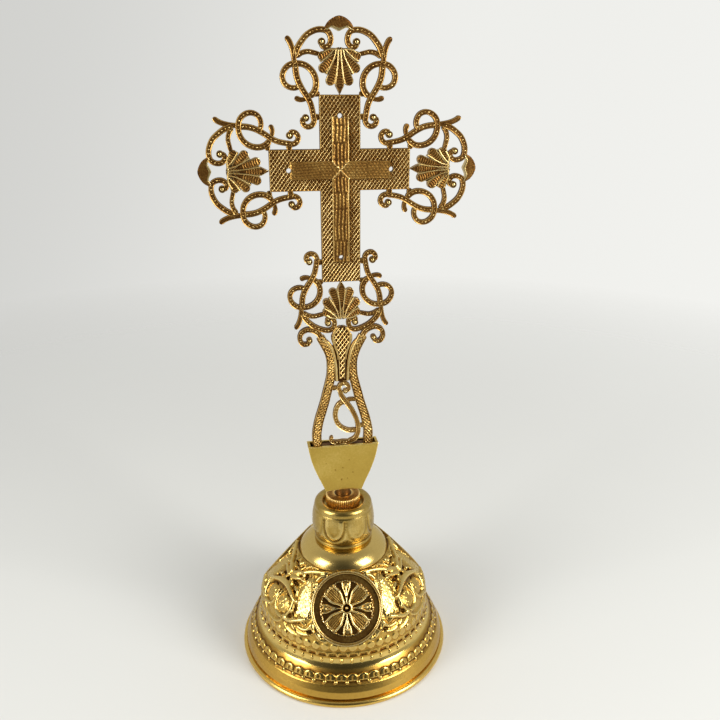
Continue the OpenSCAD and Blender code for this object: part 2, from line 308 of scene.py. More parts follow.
def beads(points, radius, rise, base, scale):
    """Small round beads on the front and back of a flat piece."""
    n = BEAD_SIDES
    a = around(n)
    rings = [(1.0, 0.0), (0.86, 0.5), (0.5, 0.87)]
    wear_and_shade = np.concatenate([np.full(n, 0.2), np.full(n, 0.6), np.full(n + 1, 1.0)])
    faces = [[k * n + i, k * n + (i + 1) % n, k * n + n + (i + 1) % n, k * n + n + i]
             for k in range(2) for i in range(n)]
    faces += [[2 * n + i, 2 * n + (i + 1) % n, 3 * n] for i in range(n)]
    parts = []
    for x, z in points:
        for side in (-1, 1):
            rows = [np.stack([x + radius * k * np.cos(a), np.full(n, side * (base + rise * h)),
                              z + radius * k * np.sin(a)], -1) for k, h in rings]
            verts = np.concatenate(rows + [[[x, side * (base + rise), z]]])
            turned_faces = [f[::-1] for f in faces] if side > 0 else faces
            parts.append((verts, turned_faces, wear_and_shade * scale))
    return parts


def button(x, z, radius, half):
    """Round eye at the end of a curl, domed in the middle with a ring around it."""
    # share of the radius, height, wear
    rings = [(0.06, 0.2, 1.0), (0.3, 0.17, 1.0), (0.46, 0.02, 0.7), (0.58, -0.22, 0.05),
             (0.7, -0.22, 0.05), (0.8, 0.0, 0.7), (0.92, 0.0, 0.8), (1.0, -0.3, 0.5)]
    n = BUTTON_SIDES
    a = around(n)
    rows, wear_and_shade = [], []
    for side in (-1, 1):
        for k, h, w in rings[::-side]:
            rows.append(np.stack([x + radius * k * np.cos(a), np.full(n, side * (half + h)),
                                  z + radius * k * np.sin(a)], -1))
            wear_and_shade.append(np.full(n, w))
    faces = grid_faces(ring_index(len(rows), n), flip=True).tolist()
    faces += [list(range(n))[::-1], list(range(len(rows) * n - n, len(rows) * n))]
    return np.concatenate(rows), faces, np.concatenate(wear_and_shade)


def bar(x0, z0, x1, z1, half_w, low, high):
    """Straight ridge with a rounded top, on the front and on the back."""
    d = np.array([x1 - x0, z1 - z0])
    n = np.array([-d[1], d[0]]) / max(np.linalg.norm(d), TINY)
    shoulder = low + (high - low) * 0.75
    section = [(-1, low), (-0.5, shoulder), (0, high), (0.5, shoulder), (1, low)]
    tone = np.array([0.1, 0.6, 0.95, 0.6, 0.1])
    parts = []
    for side in (-1, 1):
        verts = [[p[0] + n[0] * u * half_w, side * h, p[1] + n[1] * u * half_w]
                 for p in ((x0, z0), (x1, z1)) for u, h in section]
        faces = [[i, i + 5, i + 6, i + 1] for i in range(4)]
        faces += [[0, 1, 2, 3, 4], [9, 8, 7, 6, 5]]
        if side > 0:
            faces = [f[::-1] for f in faces]
        parts.append((np.array(verts), faces, np.concatenate([tone, tone])))
    return parts


# ---- procedural materials ----

PLAIN_WEAR_AND_SHADE = 0.7  # tone of rubbing and painted shade for the CAD nodes, which have no such attribute
BUMP_SCALE = 2200.0


def node(tree, kind, **sockets):
    """Adds a shader node and sets its inputs by name."""
    made = tree.nodes.new(kind)
    for name, value in sockets.items():
        made.inputs[name].default_value = value
    return made


def noise(tree, coordinates, scale, detail=4.0):
    """Noise texture at a scale in 1/m."""
    made = node(tree, "ShaderNodeTexNoise", Scale=scale, Detail=detail, Roughness=0.55)
    tree.links.new(coordinates, made.inputs["Vector"])
    return made.outputs["Fac"]


def mapped(tree, value, low, high, to_low, to_high):
    """Maps a value from one range to another."""
    made = tree.nodes.new("ShaderNodeMapRange")
    for name, number in (("From Min", low), ("From Max", high),
                         ("To Min", to_low), ("To Max", to_high)):
        made.inputs[name].default_value = number
    tree.links.new(value, made.inputs["Value"])
    return made.outputs["Result"]


def summed(tree, a, b):
    """Sum of a value and another value or number."""
    made = tree.nodes.new("ShaderNodeMath")
    tree.links.new(a, made.inputs[0])
    if isinstance(b, float):
        made.inputs[1].default_value = b
    else:
        tree.links.new(b, made.inputs[1])
    return made.outputs[0]


def fill_ramp(ramp, stops):
    """Sets a colour ramp's stops from (position, colour) rows."""
    elements = ramp.color_ramp.elements
    for place, colour in stops[1:-1]:
        elements.new(place).color = (*colour, 1)
    for element, (place, colour) in ((elements[0], stops[0]), (elements[-1], stops[-1])):
        element.position = place
        element.color = (*colour, 1)


def mixed(tree, share, first, second):
    """Mix of two shaders: the first where the share is 0, the second where it is 1."""
    mix = tree.nodes.new("ShaderNodeMixShader")
    for number, output in enumerate((share, first, second)):
        tree.links.new(output, mix.inputs[number])
    return mix.outputs[0]


def empty_tree(owner):
    """Node tree of a material or world, with its nodes cleared away."""
    owner.use_nodes = True
    owner.node_tree.nodes.clear()
    return owner.node_tree


def metal(name, tones, rough, blotch, fine, bump, worn_and_shaded=True):
    """Metal whose tone runs from hollows to ridges, with blotches, fine specks and bump.
    Its dark hollows are partly patina and partly painted shade, its bright ridges partly rubbing
    and partly painted highlight.

    tones: (position, colour) stops. rough: roughness in hollows and on ridges. blotch and
    fine: scale in 1/m and strength. bump: depth in mm. worn_and_shaded: follow the mesh's
    attribute of rubbing and painted shade.
    """
    made = bpy.data.materials.new(name)
    tree = empty_tree(made)
    out = tree.nodes.new("ShaderNodeOutputMaterial")
    shader = node(tree, "ShaderNodeBsdfPrincipled", Metallic=1.0)
    tree.links.new(shader.outputs[0], out.inputs["Surface"])
    where = tree.nodes.new("ShaderNodeTexCoord").outputs["Object"]
    big = mapped(tree, noise(tree, where, blotch[0]), 0.3, 0.7, -blotch[1], blotch[1])
    small = mapped(tree, noise(tree, where, fine[0], 2.0), 0.3, 0.7, -fine[1], fine[1])
    if worn_and_shaded:
        # the tone follows the mesh's attribute of rubbing and painted shade (dark hollows, bright
        # ridges)
        layer = tree.nodes.new("ShaderNodeAttribute")
        layer.attribute_name = "wear_and_shade"
        level = summed(tree, summed(tree, layer.outputs["Fac"], big), small)
    else:
        level = summed(tree, summed(tree, big, small), PLAIN_WEAR_AND_SHADE)
    ramp = tree.nodes.new("ShaderNodeValToRGB")
    fill_ramp(ramp, tones)
    tree.links.new(level, ramp.inputs["Fac"])
    tree.links.new(ramp.outputs["Color"], shader.inputs["Base Color"])
    tree.links.new(mapped(tree, level, 0.0, 1.0, *rough), shader.inputs["Roughness"])
    lift = node(tree, "ShaderNodeBump", Strength=1.0, Distance=bump * MM)
    tree.links.new(noise(tree, where, BUMP_SCALE, 3.0), lift.inputs["Height"])
    tree.links.new(lift.outputs["Normal"], shader.inputs["Normal"])
    return made


ANTIQUE = metal(
    "antique_brass",
    [(0.0, (0.035, 0.012, 0.003)), (0.3, (0.13, 0.055, 0.013)), (0.55, (0.32, 0.165, 0.038)),
     (0.8, (0.58, 0.38, 0.115)), (1.0, (0.84, 0.66, 0.3))],
    rough=(0.55, 0.3), blotch=(110.0, 0.1), fine=(1500.0, 0.1), bump=0.03)
POLISHED = metal(
    "polished_gold",
    [(0.0, (0.06, 0.026, 0.005)), (0.25, (0.26, 0.14, 0.026)), (0.5, (0.54, 0.34, 0.072)),
     (1.0, (0.78, 0.58, 0.2))],
    rough=(0.38, 0.18), blotch=(45.0, 0.06), fine=(900.0, 0.04), bump=0.006)
# near-black lowest tone, used in the medallion's moat as painted shade
MEDAL = metal(
    "antique_rosette",
    [(0.0, (0.02, 0.008, 0.003)), (0.3, (0.17, 0.085, 0.018)), (0.6, (0.5, 0.32, 0.08)),
     (1.0, (0.92, 0.74, 0.34))],
    rough=(0.5, 0.2), blotch=(150.0, 0.08), fine=(1500.0, 0.07), bump=0.012)
FOOT = metal(
    "satin_foot",
    [(0.0, (0.05, 0.02, 0.004)), (0.3, (0.26, 0.13, 0.022)), (0.6, (0.54, 0.33, 0.065)),
     (1.0, (0.72, 0.52, 0.16))],
    rough=(0.42, 0.13), blotch=(60.0, 0.05), fine=(900.0, 0.04), bump=0.006)
SATIN = metal(
    "satin_gold",
    [(0.0, (0.12, 0.05, 0.01)), (0.4, (0.46, 0.29, 0.055)), (0.7, (0.58, 0.4, 0.082)),
     (1.0, (0.84, 0.64, 0.2))],
    rough=(0.48, 0.36), blotch=(80.0, 0.08), fine=(1200.0, 0.05), bump=0.012)
# copper gold with its tones lifted brighter than the metal: painted light against the shade of the
# collar
COPPER_PAINTED_LIGHT = metal(
    "copper_gold",
    [(0.0, (0.12, 0.045, 0.01)), (0.3, (0.5, 0.25, 0.055)), (0.7, (0.9, 0.58, 0.17)),
     (1.0, (0.95, 0.72, 0.3))],
    rough=(0.5, 0.26), blotch=(200.0, 0.12), fine=(1800.0, 0.16), bump=0.02)
COLLAR = metal(
    "soft_gold",
    [(0.0, (0.05, 0.022, 0.005)), (0.3, (0.22, 0.125, 0.024)), (0.7, (0.42, 0.28, 0.065)),
     (1.0, (0.66, 0.49, 0.17))],
    rough=(0.42, 0.24), blotch=(70.0, 0.1), fine=(1000.0, 0.06), bump=0.012)
# near-black brown for the stud in the dark gap between the pocket and the disc: painted shade
STUD_SHADE = metal(
    "stud_painted_shade",
    [(0.0, (0.03, 0.012, 0.003)), (0.5, (0.10, 0.045, 0.012)), (1.0, (0.3, 0.16, 0.05))],
    rough=(0.6, 0.45), blotch=(200.0, 0.15), fine=(1500.0, 0.15), bump=0.03, worn_and_shaded=False)
RAW = metal(
    "raw_brass",
    [(0.0, (0.3, 0.18, 0.05)), (0.5, (0.56, 0.38, 0.12)), (1.0, (0.72, 0.54, 0.2))],
    rough=(0.42, 0.3), blotch=(120.0, 0.15), fine=(1800.0, 0.1), bump=0.01, worn_and_shaded=False)
WIRE = metal(
    "gilt_wire",
    [(0.0, (0.36, 0.19, 0.035)), (0.5, (0.66, 0.42, 0.09)), (1.0, (0.82, 0.58, 0.17))],
    rough=(0.3, 0.2), blotch=(60.0, 0.12), fine=(900.0, 0.08), bump=0.006, worn_and_shaded=False)


# ---- scroll ribbons ----

LOOP = [(11.6, 27.2), (10, 28.6), (9, 31), (9.2, 34), (10.6, 36.6), (13, 38.4), (16, 39),
        (19, 38.4), (21, 36.4), (21.6, 34), (20.8, 31.8), (19, 30.6), (16.9, 30.4), (15, 31.2)]
STEM = [(16.6, 39), (16.5, 36), (15.8, 33), (14.3, 30), (12.6, 27.4), (11.3, 25), (10.6, 22.5),
        (10.2, 20), (10, 18.3), (10.9, 16.8), (12.6, 16.3), (14.1, 17.2), (14.4, 18.9),
        (13.2, 19.6)]
BUD = [(12.8, 26.4), (15.2, 26.2), (17.2, 27)]
TENDRIL = [(16.9, 38.8), (17.2, 42), (17.9, 45), (19, 47.2), (20.1, 48)]
ARC = [(16.8, 41), (15.8, 44), (14.3, 46.4), (12, 48.9), (9, 50.4), (6.3, 50.7), (4.2, 50),
       (3.2, 48), (3.4, 46), (4.8, 44.7), (6.3, 45.1), (6.6, 46.5)]
FOOT_ARC = [(16.8, 41), (15.4, 44), (12.5, 47), (9.5, 48.7), (6.5, 49.6), (4.3, 49.3),
            (3.2, 47.8), (3.1, 45.6), (4.5, 44.2), (6, 44.8), (5.8, 46.4)]
BRANCH = [(16.4, 41.2), (14.2, 42.6), (11.8, 43.1), (9.5, 42.7), (7.4, 42.2)]
LOOP_TAB = [(7.6, 28.4), (10.6, 28.2)]
STEM_TAB = [(7.6, 19.9), (10.4, 19.9)]

# across a ribbon: place from edge to edge, drop below its half-thickness, tone of rubbing and
# painted shade (dark groove, bright edges)
ACROSS = mirrored([(-1, 0.3, 0.3), (-0.95, 0.1, 0.58), (-0.87, 0.0, 0.8), (-0.77, 0.04, 0.72),
                   (-0.66, 0.2, 0.34), (-0.42, 0.27, 0.3), (0, 0.22, 0.42)])


def ribbon(points, w0, w1, half, eye, bead_step, seed):
    """Raised-edged ribbon along a curve, with beads in its groove and an eye at its end.

    w0, w1: width at its ends. half: half its thickness. eye: radius, or 0 for none.
    bead_step: distance between beads, or 0 for none.
    """
    curve = catmull(points)
    total = arc_length(curve)[-1]
    inner = np.arange(w0 * 0.5, total - w1 * 0.5, 0.42)
    tip = np.array([0.0, 0.08, 0.25, 0.55])
    at = np.unique(np.concatenate([tip * w0 / 2, inner, total - tip * w1 / 2]))
    path = at_distance(curve, at)
    side = left_normals(path)
    width = w0 + (w1 - w0) * at / total
    near_end = np.minimum(at / (w0 / 2), (total - at) / (w1 / 2))
    round_off = np.sqrt(np.clip(1 - (1 - np.clip(near_end, 0, 1))**2, 0.02, 1))
    half_w = (width / 2 * round_off)[:, None] * ACROSS[None, :, 0]
    grid = path[:, None, :] + side[:, None, :] * half_w[..., None]
    drop = ACROSS[None, :, 1] + 0.25 * (1 - round_off)[:, None]
    rng = np.random.default_rng(seed)
    knots = np.arange(0, total + 3, 1.5)
    wobble = np.interp(at, knots, rng.uniform(-0.05, 0.05, len(knots)))
    height = half - drop + wobble[:, None]
    wear_and_shade = np.repeat(ACROSS[None, :, 2], len(at), 0)
    parts = [slab(grid, height, height, wear_and_shade)]
    if bead_step:
        along = np.arange(bead_step, total - bead_step * 0.7, bead_step)
        spots = at_distance(curve, along + rng.uniform(-0.2, 0.2, len(along)))
        for third, radius in enumerate((0.4, 0.33, 0.37)):
            parts += beads(spots[third::3], radius, 0.26, half - 0.3, (0.95, 0.7, 0.82)[third])
    if eye:
        parts.append(button(*points[-1], eye, half + 0.1))
    return parts


def both_sides(points):
    """A path and its mirror image."""
    return [points, [(-x, z) for x, z in points]]


def finial(arc):
    """Scrollwork of one finial, drawn pointing up."""
    # path, width at its two ends, half-thickness, eye, bead step
    rows = [(LOOP, 2.4, 2.0, 1.14, 0.0, 1.5), (STEM, 2.4, 2.0, 1.02, 1.4, 1.5),
            (BUD, 1.5, 2.3, 0.96, 0.0, 0.0), (TENDRIL, 1.9, 2.1, 1.04, 0.0, 0.0),
            (arc, 2.3, 2.0, 1.1, 1.4, 1.5), (BRANCH, 2.0, 1.7, 1.0, 0.0, 1.5),
            (LOOP_TAB, 2.4, 2.0, 0.9, 0.0, 0.0), (STEM_TAB, 2.4, 2.4, 0.9, 0.0, 0.0)]
    parts = []
    for number, (points, *sizes) in enumerate(rows):
        for side, path in enumerate(both_sides(points)):
            parts += ribbon(path, *sizes, seed=10 * number + side)
    return parts


def make_finials():
    side = join(finial(ARC))
    foot = join(finial(FOOT_ARC))
    for place, turn in TURNS:
        part = turn_part(foot if place == "bottom" else side, turn)
        cross_piece("finial_" + place + "_scrolls", part, "finial_" + place)


# ---- shells in the finials ----

SHELL_FOOT = np.array([0.0, 43.9])
# x and z of a lobe's tip, and its radius there
LOBES = [(3.5, 32.9, 1.75), (6.1, 37.4, 1.8), (6.4, 41.6, 1.7)]


def lobe(tip, r_tip, w_foot, half, point=0.0):
    """One lobe of a shell, ribbed along its edges and combed across its outer half."""
    d = np.array(tip) - SHELL_FOOT
    reach = np.linalg.norm(d)
    d = d / reach
    n = np.array([-d[1], d[0]])
    total = reach + (point or r_tip)
    e = np.concatenate([np.linspace(0, reach, 40), reach + (total - reach)
                        * np.array([0.2, 0.4, 0.58, 0.74, 0.87, 0.96, 1.0])])
    beyond = np.clip((e - reach) / (total - reach), 0, 1)
    grow = w_foot + (r_tip - w_foot) * np.clip(e / reach, 0, 1)**1.3
    end = (1 - beyond) if point else np.sqrt(np.clip(1 - beyond**2, 0.0004, 1))
    half_w = grow * np.maximum(end, 0.03)
    u = edge_to_edge(0, 0.2, 0.45, 0.66, 0.8, 0.92, 1)
    grid = (SHELL_FOOT + e[:, None, None] * d + (half_w[:, None] * u)[..., None] * n)
    edge = dome(np.abs(u) - 0.85, 0.17)[None, :]
    comb = 0.5 + 0.5 * np.cos(2 * math.pi * (e[:, None] + 0.5 * (1 - u[None, :]**2)) / 0.95)
    outer = ease(e, reach * 0.38, reach * 0.55)[:, None] * ease(1 - np.abs(u), 0.2, 0.3)[None, :]
    flute = (0.5 + 0.5 * np.cos(2 * math.pi * u * 1.1))[None, :] * (1 - outer)
    inner = 0.22 * comb * outer + 0.12 * flute
    height = half - 0.45 + 0.42 * edge + inner * (1 - edge) - 0.3 * beyond[:, None]**2
    wear_and_shade = np.clip(0.12 + 0.88 * edge + (0.5 * comb * outer + 0.25 * flute) * (1 - edge), 0, 1)
    wear_and_shade = np.broadcast_to(wear_and_shade, height.shape)
    return slab(grid, height, height, wear_and_shade)


def wire(points, w0, w1, half, tone=1.0):
    """Thin round-backed ridge along a curve, on both faces."""
    path, s = evenly(catmull(points), 0.3)
    side = left_normals(path)
    u = edge_to_edge(0, 0.45, 0.8, 1)
    half_w = (w0 + (w1 - w0) * s / s[-1])[:, None] / 2 * u[None, :]
    grid = path[:, None, :] + side[:, None, :] * half_w[..., None]
    height = np.repeat((half - 0.42 * (1 - np.sqrt(1 - u**2 * 0.99)))[None, :], len(s), 0)
    wear_and_shade = np.repeat((tone - 0.6 * u**2)[None, :], len(s), 0)
    return slab(grid, height, height, wear_and_shade)


RIBS = [[(0.45, 43.7), (0.75, 39), (1.2, 35), (1.85, 31.8)],
        [(1.3, 43.7), (2.0, 41), (3.5, 38), (5.1, 35.3)],
        [(2.2, 43.8), (3.4, 42.5), (5.2, 41), (7.2, 39.7)]]


def shell():
    """Seven-lobed shell with bright ribs, drawn with its foot up and its longest lobe down."""
    parts = []
    for x, z, r in LOBES:
        for s in (-1, 1):
            parts.append(lobe((s * x, z), r, 0.85, 1.5 + 0.02 * x))
    parts.append(lobe((0, 31.2), 1.65, 0.8, 1.62, point=3.2))
    for path in RIBS:
        for points in both_sides(path):
            parts.append(wire(points, 0.55, 0.75, 1.82))
    rim = mirrored([(-6.6, 42.5), (-4.6, 43.8), (-2.4, 44), (0, 43.7)])
    parts.append(wire(rim, 0.8, 0.8, 1.78))
    return join(parts)


def make_shells():
    part = shell()
    for place, turn in TURNS:
        cross_piece("palmette_" + place + "_shell", turn_part(part, turn), "palmette_" + place)


def crest(seed):
    """Pebbled crest over an arm's end, with a bright scalloped lower rim."""
    upper = catmull(mirrored([(-5.5, 51.2), (-4.3, 53.2), (-2.3, 54.7), (0, 55.4)]))
    lower = catmull(mirrored([(-5.5, 51), (-4.6, 50.6), (-3, 51.4), (-1.2, 50.7), (0, 50.2)]))
    x = np.linspace(-5.5, 5.5, 80)
    t = np.linspace(0, 1, 30)[:, None]
    top = np.interp(x, upper[:, 0], upper[:, 1])
    foot = np.interp(x, lower[:, 0], lower[:, 1])
    z = foot + (top - foot) * t
    grid = np.stack([np.broadcast_to(x, z.shape), z], -1)
    rng = np.random.default_rng(seed)
    height = 0.95 + 0.42 * np.sqrt(np.clip(np.sin(math.pi * (0.06 + 0.88 * t)), 0, 1)) + 0 * z
    for px, pz in rng.uniform((-4.4, 51.2), (4.4, 55), (110, 2)):
        size = rng.uniform(0.28, 0.5)
        height = np.maximum(height, 1.16 + 0.22 * dome(np.hypot(grid[..., 0] - px, z - pz), size))
    height = np.where(t < 0.2, 1.38 - 6 * (t - 0.1)**2, height)
    wear_and_shade = np.clip(0.22 + (height - 1.2) * 1.3, 0, 0.55)
    wear_and_shade = np.where(t < 0.2, 0.98, wear_and_shade)
    return slab(grid, height, height, wear_and_shade)


def make_crests():
    for number, (place, turn) in enumerate(TURNS[:3]):
        cross_piece("crest_" + place + "_knop", turn_part(crest(number + 5), turn),
                    "crest_" + place)


# ---- flat cross ----

# centres of the pin holes
HOLES = [(20.4, 0), (-20.4, 0), (0, 20.3), (0, -35)]
HOLE_R = 0.95
# half-width of the beams, reach of the top and arms, reach of the foot
ARM, REACH, FOOT_REACH = WIDE_CROSS = (8.0, 28.0, 45.3)
NARROW, NARROW_REACH, NARROW_FOOT = NARROW_CROSS = (3.4, 20.0, 36.7)
PLATE_HALF = 0.95  # half-thickness of the plate between its ridges
NARROW_HALF = 1.5


def snap_to_holes(grid, cell):
    """Pulls grid points that lie near a pin hole's edge on to it."""
    inside = np.zeros(grid.shape[:2], bool)
    for hx, hz in HOLES:
        d = np.hypot(grid[..., 0] - hx, grid[..., 1] - hz)
        near = np.abs(d - HOLE_R) < cell * 0.62
        for k, c in enumerate((hx, hz)):
            pulled = c + (grid[..., k] - c) * HOLE_R / np.maximum(d, 1e-6)
            grid[..., k] = np.where(near, pulled, grid[..., k])
        inside |= np.hypot(grid[..., 0] - hx, grid[..., 1] - hz) < HOLE_R - 0.05
    return inside


def cells_without(inside):
    """Cells with no corner inside a hole."""
    return ~(inside[:-1, :-1] | inside[1:, :-1] | inside[:-1, 1:] | inside[1:, 1:])


def in_cross(x, z, sizes, inset=0.0):
    """True where a point lies on a flat cross, and at least inset from its edge."""
    half, reach, foot = [size - inset for size in sizes]
    upright = (np.abs(x) < half) & (z < reach) & (z > -foot)
    return upright | (np.abs(z) < half) & (np.abs(x) < reach)


def ridges(x, z, allowed, half_w, low, high):
    """Ridge pieces along a line of close points wherever it is allowed."""
    ok = np.concatenate([[False], allowed(x, z), [False]])
    starts = np.nonzero(ok[1:] & ~ok[:-1])[0]
    ends = np.nonzero(~ok[1:] & ok[:-1])[0] - 1
    parts = []
    for a, b in zip(starts, ends):
        if b - a >= 3:
            parts += bar(x[a], z[a], x[b], z[b], half_w, low, high)
    return parts


def lattice(allowed, box, pitch, half_w, low, high, seed):
    """Two crossing sets of slanted ridges over a region."""
    x0, z0, x1, z1 = box
    rng = np.random.default_rng(seed)
    size = (x1 - x0) + (z1 - z0)
    up = np.arange(0, z1 - z0, 0.1)
    parts = []
    for slope, wide, drop, tone in ((0.74, 1.05, 0.0, 1.0), (-0.74, 0.95, 0.03, 0.95)):
        for start in np.arange(x0 - size, x1 + size, pitch):
            at = start + rng.uniform(-0.09, 0.09)
            lift = rng.uniform(-0.05, 0.03) - drop
            made = ridges(at + up * slope, z0 + up, allowed, half_w * wide, low, high + lift)
            parts += [(verts, faces, np.minimum(wear_and_shade * tone + 0.14, 1))
                      for verts, faces, wear_and_shade in made]
    return parts


def fine_steps(low, high, centres):
    """Grid lines 1 mm apart, and closer near the given centres."""
    lines = [np.arange(low, high + 0.01, (high - low) / round(high - low))]
    for c in centres:
        lines.append(c + np.arange(-1.4, 1.41, 0.2))
    lines = np.unique(np.round(np.concatenate(lines), 3))
    keep = np.concatenate([[True], np.diff(lines) > 0.09])
    return lines[keep]


def make_plate():
    hole_x, hole_z = zip(*HOLES)
    x = np.unique(np.concatenate([fine_steps(-REACH, REACH, hole_x), [-ARM, ARM]]))
    z = np.unique(np.concatenate([fine_steps(-FOOT_REACH, REACH, hole_z), [-ARM, ARM]]))
    grid = np.stack(np.meshgrid(x, z), -1)
    mid_x, mid_z = (x[1:] + x[:-1]) / 2, (z[1:] + z[:-1]) / 2
    keep = in_cross(*np.meshgrid(mid_x, mid_z), WIDE_CROSS)
    keep &= cells_without(snap_to_holes(grid, 0.2))
    floor = np.full(grid.shape[:2], PLATE_HALF)
    parts = [slab(grid, floor, floor, np.full(floor.shape, 0.34), keep)]

    def allowed(px, pz):
        clear = np.ones(px.shape, bool)
        for hx, hz in HOLES:
            clear &= np.hypot(px - hx, pz - hz) > HOLE_R + 0.25
        return in_cross(px, pz, WIDE_CROSS, 0.35) & ~in_cross(px, pz, NARROW_CROSS) & clear

    parts += lattice(allowed, (-REACH, -FOOT_REACH, REACH, REACH), 1.55, 0.22, 0.9, 1.32, 3)
    edge = [(-ARM, REACH), (ARM, REACH), (ARM, ARM), (REACH, ARM), (REACH, -ARM), (ARM, -ARM),
            (ARM, -FOOT_REACH), (-ARM, -FOOT_REACH), (-ARM, -ARM), (-REACH, -ARM), (-REACH, ARM),
            (-ARM, ARM), (-ARM, REACH)]
    for (ax, az), (bx, bz) in zip(edge[:-1], edge[1:]):
        d = np.array([bx - ax, bz - az]) / max(abs(bx - ax), abs(bz - az))
        inward = np.array([d[1], -d[0]]) * 0.26
        a, b = np.array([ax, az]) + inward, np.array([bx, bz]) + inward
        parts += bar(a[0], a[1], b[0], b[1], 0.25, 0.9, 1.3)
    for hx, hz in HOLES:
        parts.append(hole_rim(hx, hz))
    cross_piece("cross_lattice_plate", join(parts), "cross_plate")


def hole_rim(hx, hz):
    """Thin raised lip around a pin hole, on both faces."""
    a = 2 * math.pi * np.arange(25) / 24
    radii = HOLE_R + np.array([0.0, 0.08, 0.2, 0.32])
    heights = np.array([PLATE_HALF, 1.22, 1.22, 0.9])
    grid = np.stack([hx + radii[None, :] * np.cos(a)[:, None],
                     hz + radii[None, :] * np.sin(a)[:, None]], -1)
    height = np.broadcast_to(heights, (25, 4))
    wear_and_shade = np.broadcast_to(np.array([0.3, 0.9, 0.9, 0.2]), (25, 4))
    return slab(grid, height, height, wear_and_shade)


def snap_to_edges(lines):
    """Moves the grid lines nearest to the narrow cross's edges on to them."""
    for edge in (-NARROW, NARROW):
        lines[np.argmin(np.abs(lines - edge))] = edge
    return lines


def grain(along, across, seed, strength, block, pitch):
    """Strands in staggered blocks along a beam, with narrow bright backs."""
    rng = np.random.default_rng(seed)
    number = np.floor((along + 60) / block + 0.12 * np.sin(across * 1.9)).astype(int)
    shift = rng.uniform(0, 1, 60)[number % 60]
    lean = rng.uniform(-0.07, 0.07, 60)[number % 60]
    place = (across + lean * along) / pitch + shift
    ridge = np.clip(np.cos(2 * math.pi * place), 0, 1)**1.5
    joint = np.abs(((along + 60) / block) % 1 - 0.5) * 2
    fade = 1 - 0.75 * ease(joint, 0.82, 0.98)
    rough = 0.035 * np.sin(along * 4.3 + across * 2.9) + 0.03 * np.sin(along * 9.1 - across * 5)
    return strength * (0.35 + 0.65 * ridge * fade) + rough * 0.6


def narrow_cross():
    """Height and wear of the narrow cross over its own grid."""
    step = 0.2
    rows = int(round((NARROW_FOOT + NARROW_REACH) / step))
    x = snap_to_edges(np.arange(-NARROW_REACH, NARROW_REACH + 0.01, step))
    z = snap_to_edges(np.linspace(-NARROW_FOOT, NARROW_REACH, rows))
    grid = np.stack(np.meshgrid(x, z), -1)
    mid = np.meshgrid((x[1:] + x[:-1]) / 2, (z[1:] + z[:-1]) / 2)
    keep = in_cross(*mid, NARROW_CROSS) & cells_without(snap_to_holes(grid, step))
    gx, gz = grid[..., 0], grid[..., 1]
    upright = np.abs(gx) <= np.abs(gz) + 1e-6
    up = grain(gz, gx, 4, 0.3, 6.4, 1.45)
    arm = grain(gx, gz, 9, 0.2, 4.7, 1.05)
    h = np.where(upright, up, arm)
    border = dome(np.abs(gx) - NARROW + 0.22, 0.24) * (np.abs(gz) > NARROW - 0.3)
    h = np.maximum(h, 0.42 * border)
    low_edge = dome(np.abs(gz) - NARROW + 0.2, 0.22) * (np.abs(gx) > NARROW - 0.3)
    h = np.maximum(h, 0.26 * low_edge)
    ends = [(gx - NARROW_REACH, 0.3), (gx + NARROW_REACH, 0.3), (gz - NARROW_REACH, 0.24),
            (gz + NARROW_FOOT, 0.24)]
    for d, top in ends:
        h = np.maximum(h, top * dome(np.abs(d) - 0.25, 0.27))
    inner = np.maximum(np.abs(gx), np.abs(gz)) < NARROW + 0.2
    mitre = np.abs(np.abs(gx) - np.abs(gz)) / math.sqrt(2)
    h = np.where(inner, np.maximum(h, 0.46 * dome(mitre, 0.26)), h)
    # the arms get a lighter, flatter tone than the upright: painted light for how differently
    # their strands catch the light
    wear_and_shade = np.where(upright, 0.14 + h * 1.9, 0.45 + h * 0.8)
    wear_and_shade = np.clip(np.maximum(wear_and_shade, (h - 0.1) * 3.2), 0, 0.95)
    return grid, h, wear_and_shade, keep


def make_narrow_crosses():
    grid, h, wear_and_shade, keep = narrow_cross()
    under = np.full(h.shape, -0.9)
    top = NARROW_HALF + h
    cross_piece("narrow_cross_front", slab(grid, top, under, wear_and_shade, keep), "overlay_front")
    cross_piece("narrow_cross_back", slab(grid, under, top, wear_and_shade, keep), "overlay_back")


# ---- handle ----

VOLUTE = [(8.6, -70.4), (10.3, -67.6), (12.6, -66.2), (15, -65.9), (17.3, -67.3), (18, -70),
          (16.8, -72.2), (14.6, -72.2), (13.9, -70.7)]
RIB = [(8.6, -70.6), (6.3, -72.1), (4.6, -74.6), (3.4, -78.8), (2.7, -84), (2.4, -90)]
RAIL = [(9.2, -69.6), (7.4, -73), (5.8, -76.5), (4.9, -80), (4.7, -84), (5, -88), (5.9, -92),
        (6.9, -96), (7.9, -100), (9.1, -104), (10.3, -108), (11.2, -112), (11.7, -116),
        (11.4, -122.5)]
CONE = [(0.8, -64.8), (2.5, -65.8), (4.3, -69), (4.3, -71), (3.3, -74), (2.2, -77), (1.5, -80),
        (1.3, -89)]
WEB = [(1, -72), (4.4, -74), (4.6, -76.5), (4.2, -84), (4.4, -89), (1, -90.5)]
VINE = [(-0.8, -94.6), (-0.6, -96.6), (0.3, -98.4), (2, -101), (4, -104), (5.5, -107),
        (6.6, -110), (7.1, -113), (7, -115.8), (5.8, -118.6), (2.5, -120.4)]
VINE_LOOP = [(2.6, -101), (0.6, -100.4), (-1.4, -101.4), (-2.7, -103.6), (-3.2, -107),
             (-2.3, -110.5), (0, -113.2), (3, -114.6), (6.6, -114.6)]
VINE_CURL = [(-0.8, -95.2), (-1.5, -93.6), (-0.6, -91.8), (1.2, -91.5), (2.7, -92.6),
             (2.8, -94.4), (1.4, -95.2)]
TONGUE = [(13.3, -120.9), (12.3, -127.9), (9.7, -135.4), (7, -140.3), (6, -141.8)]


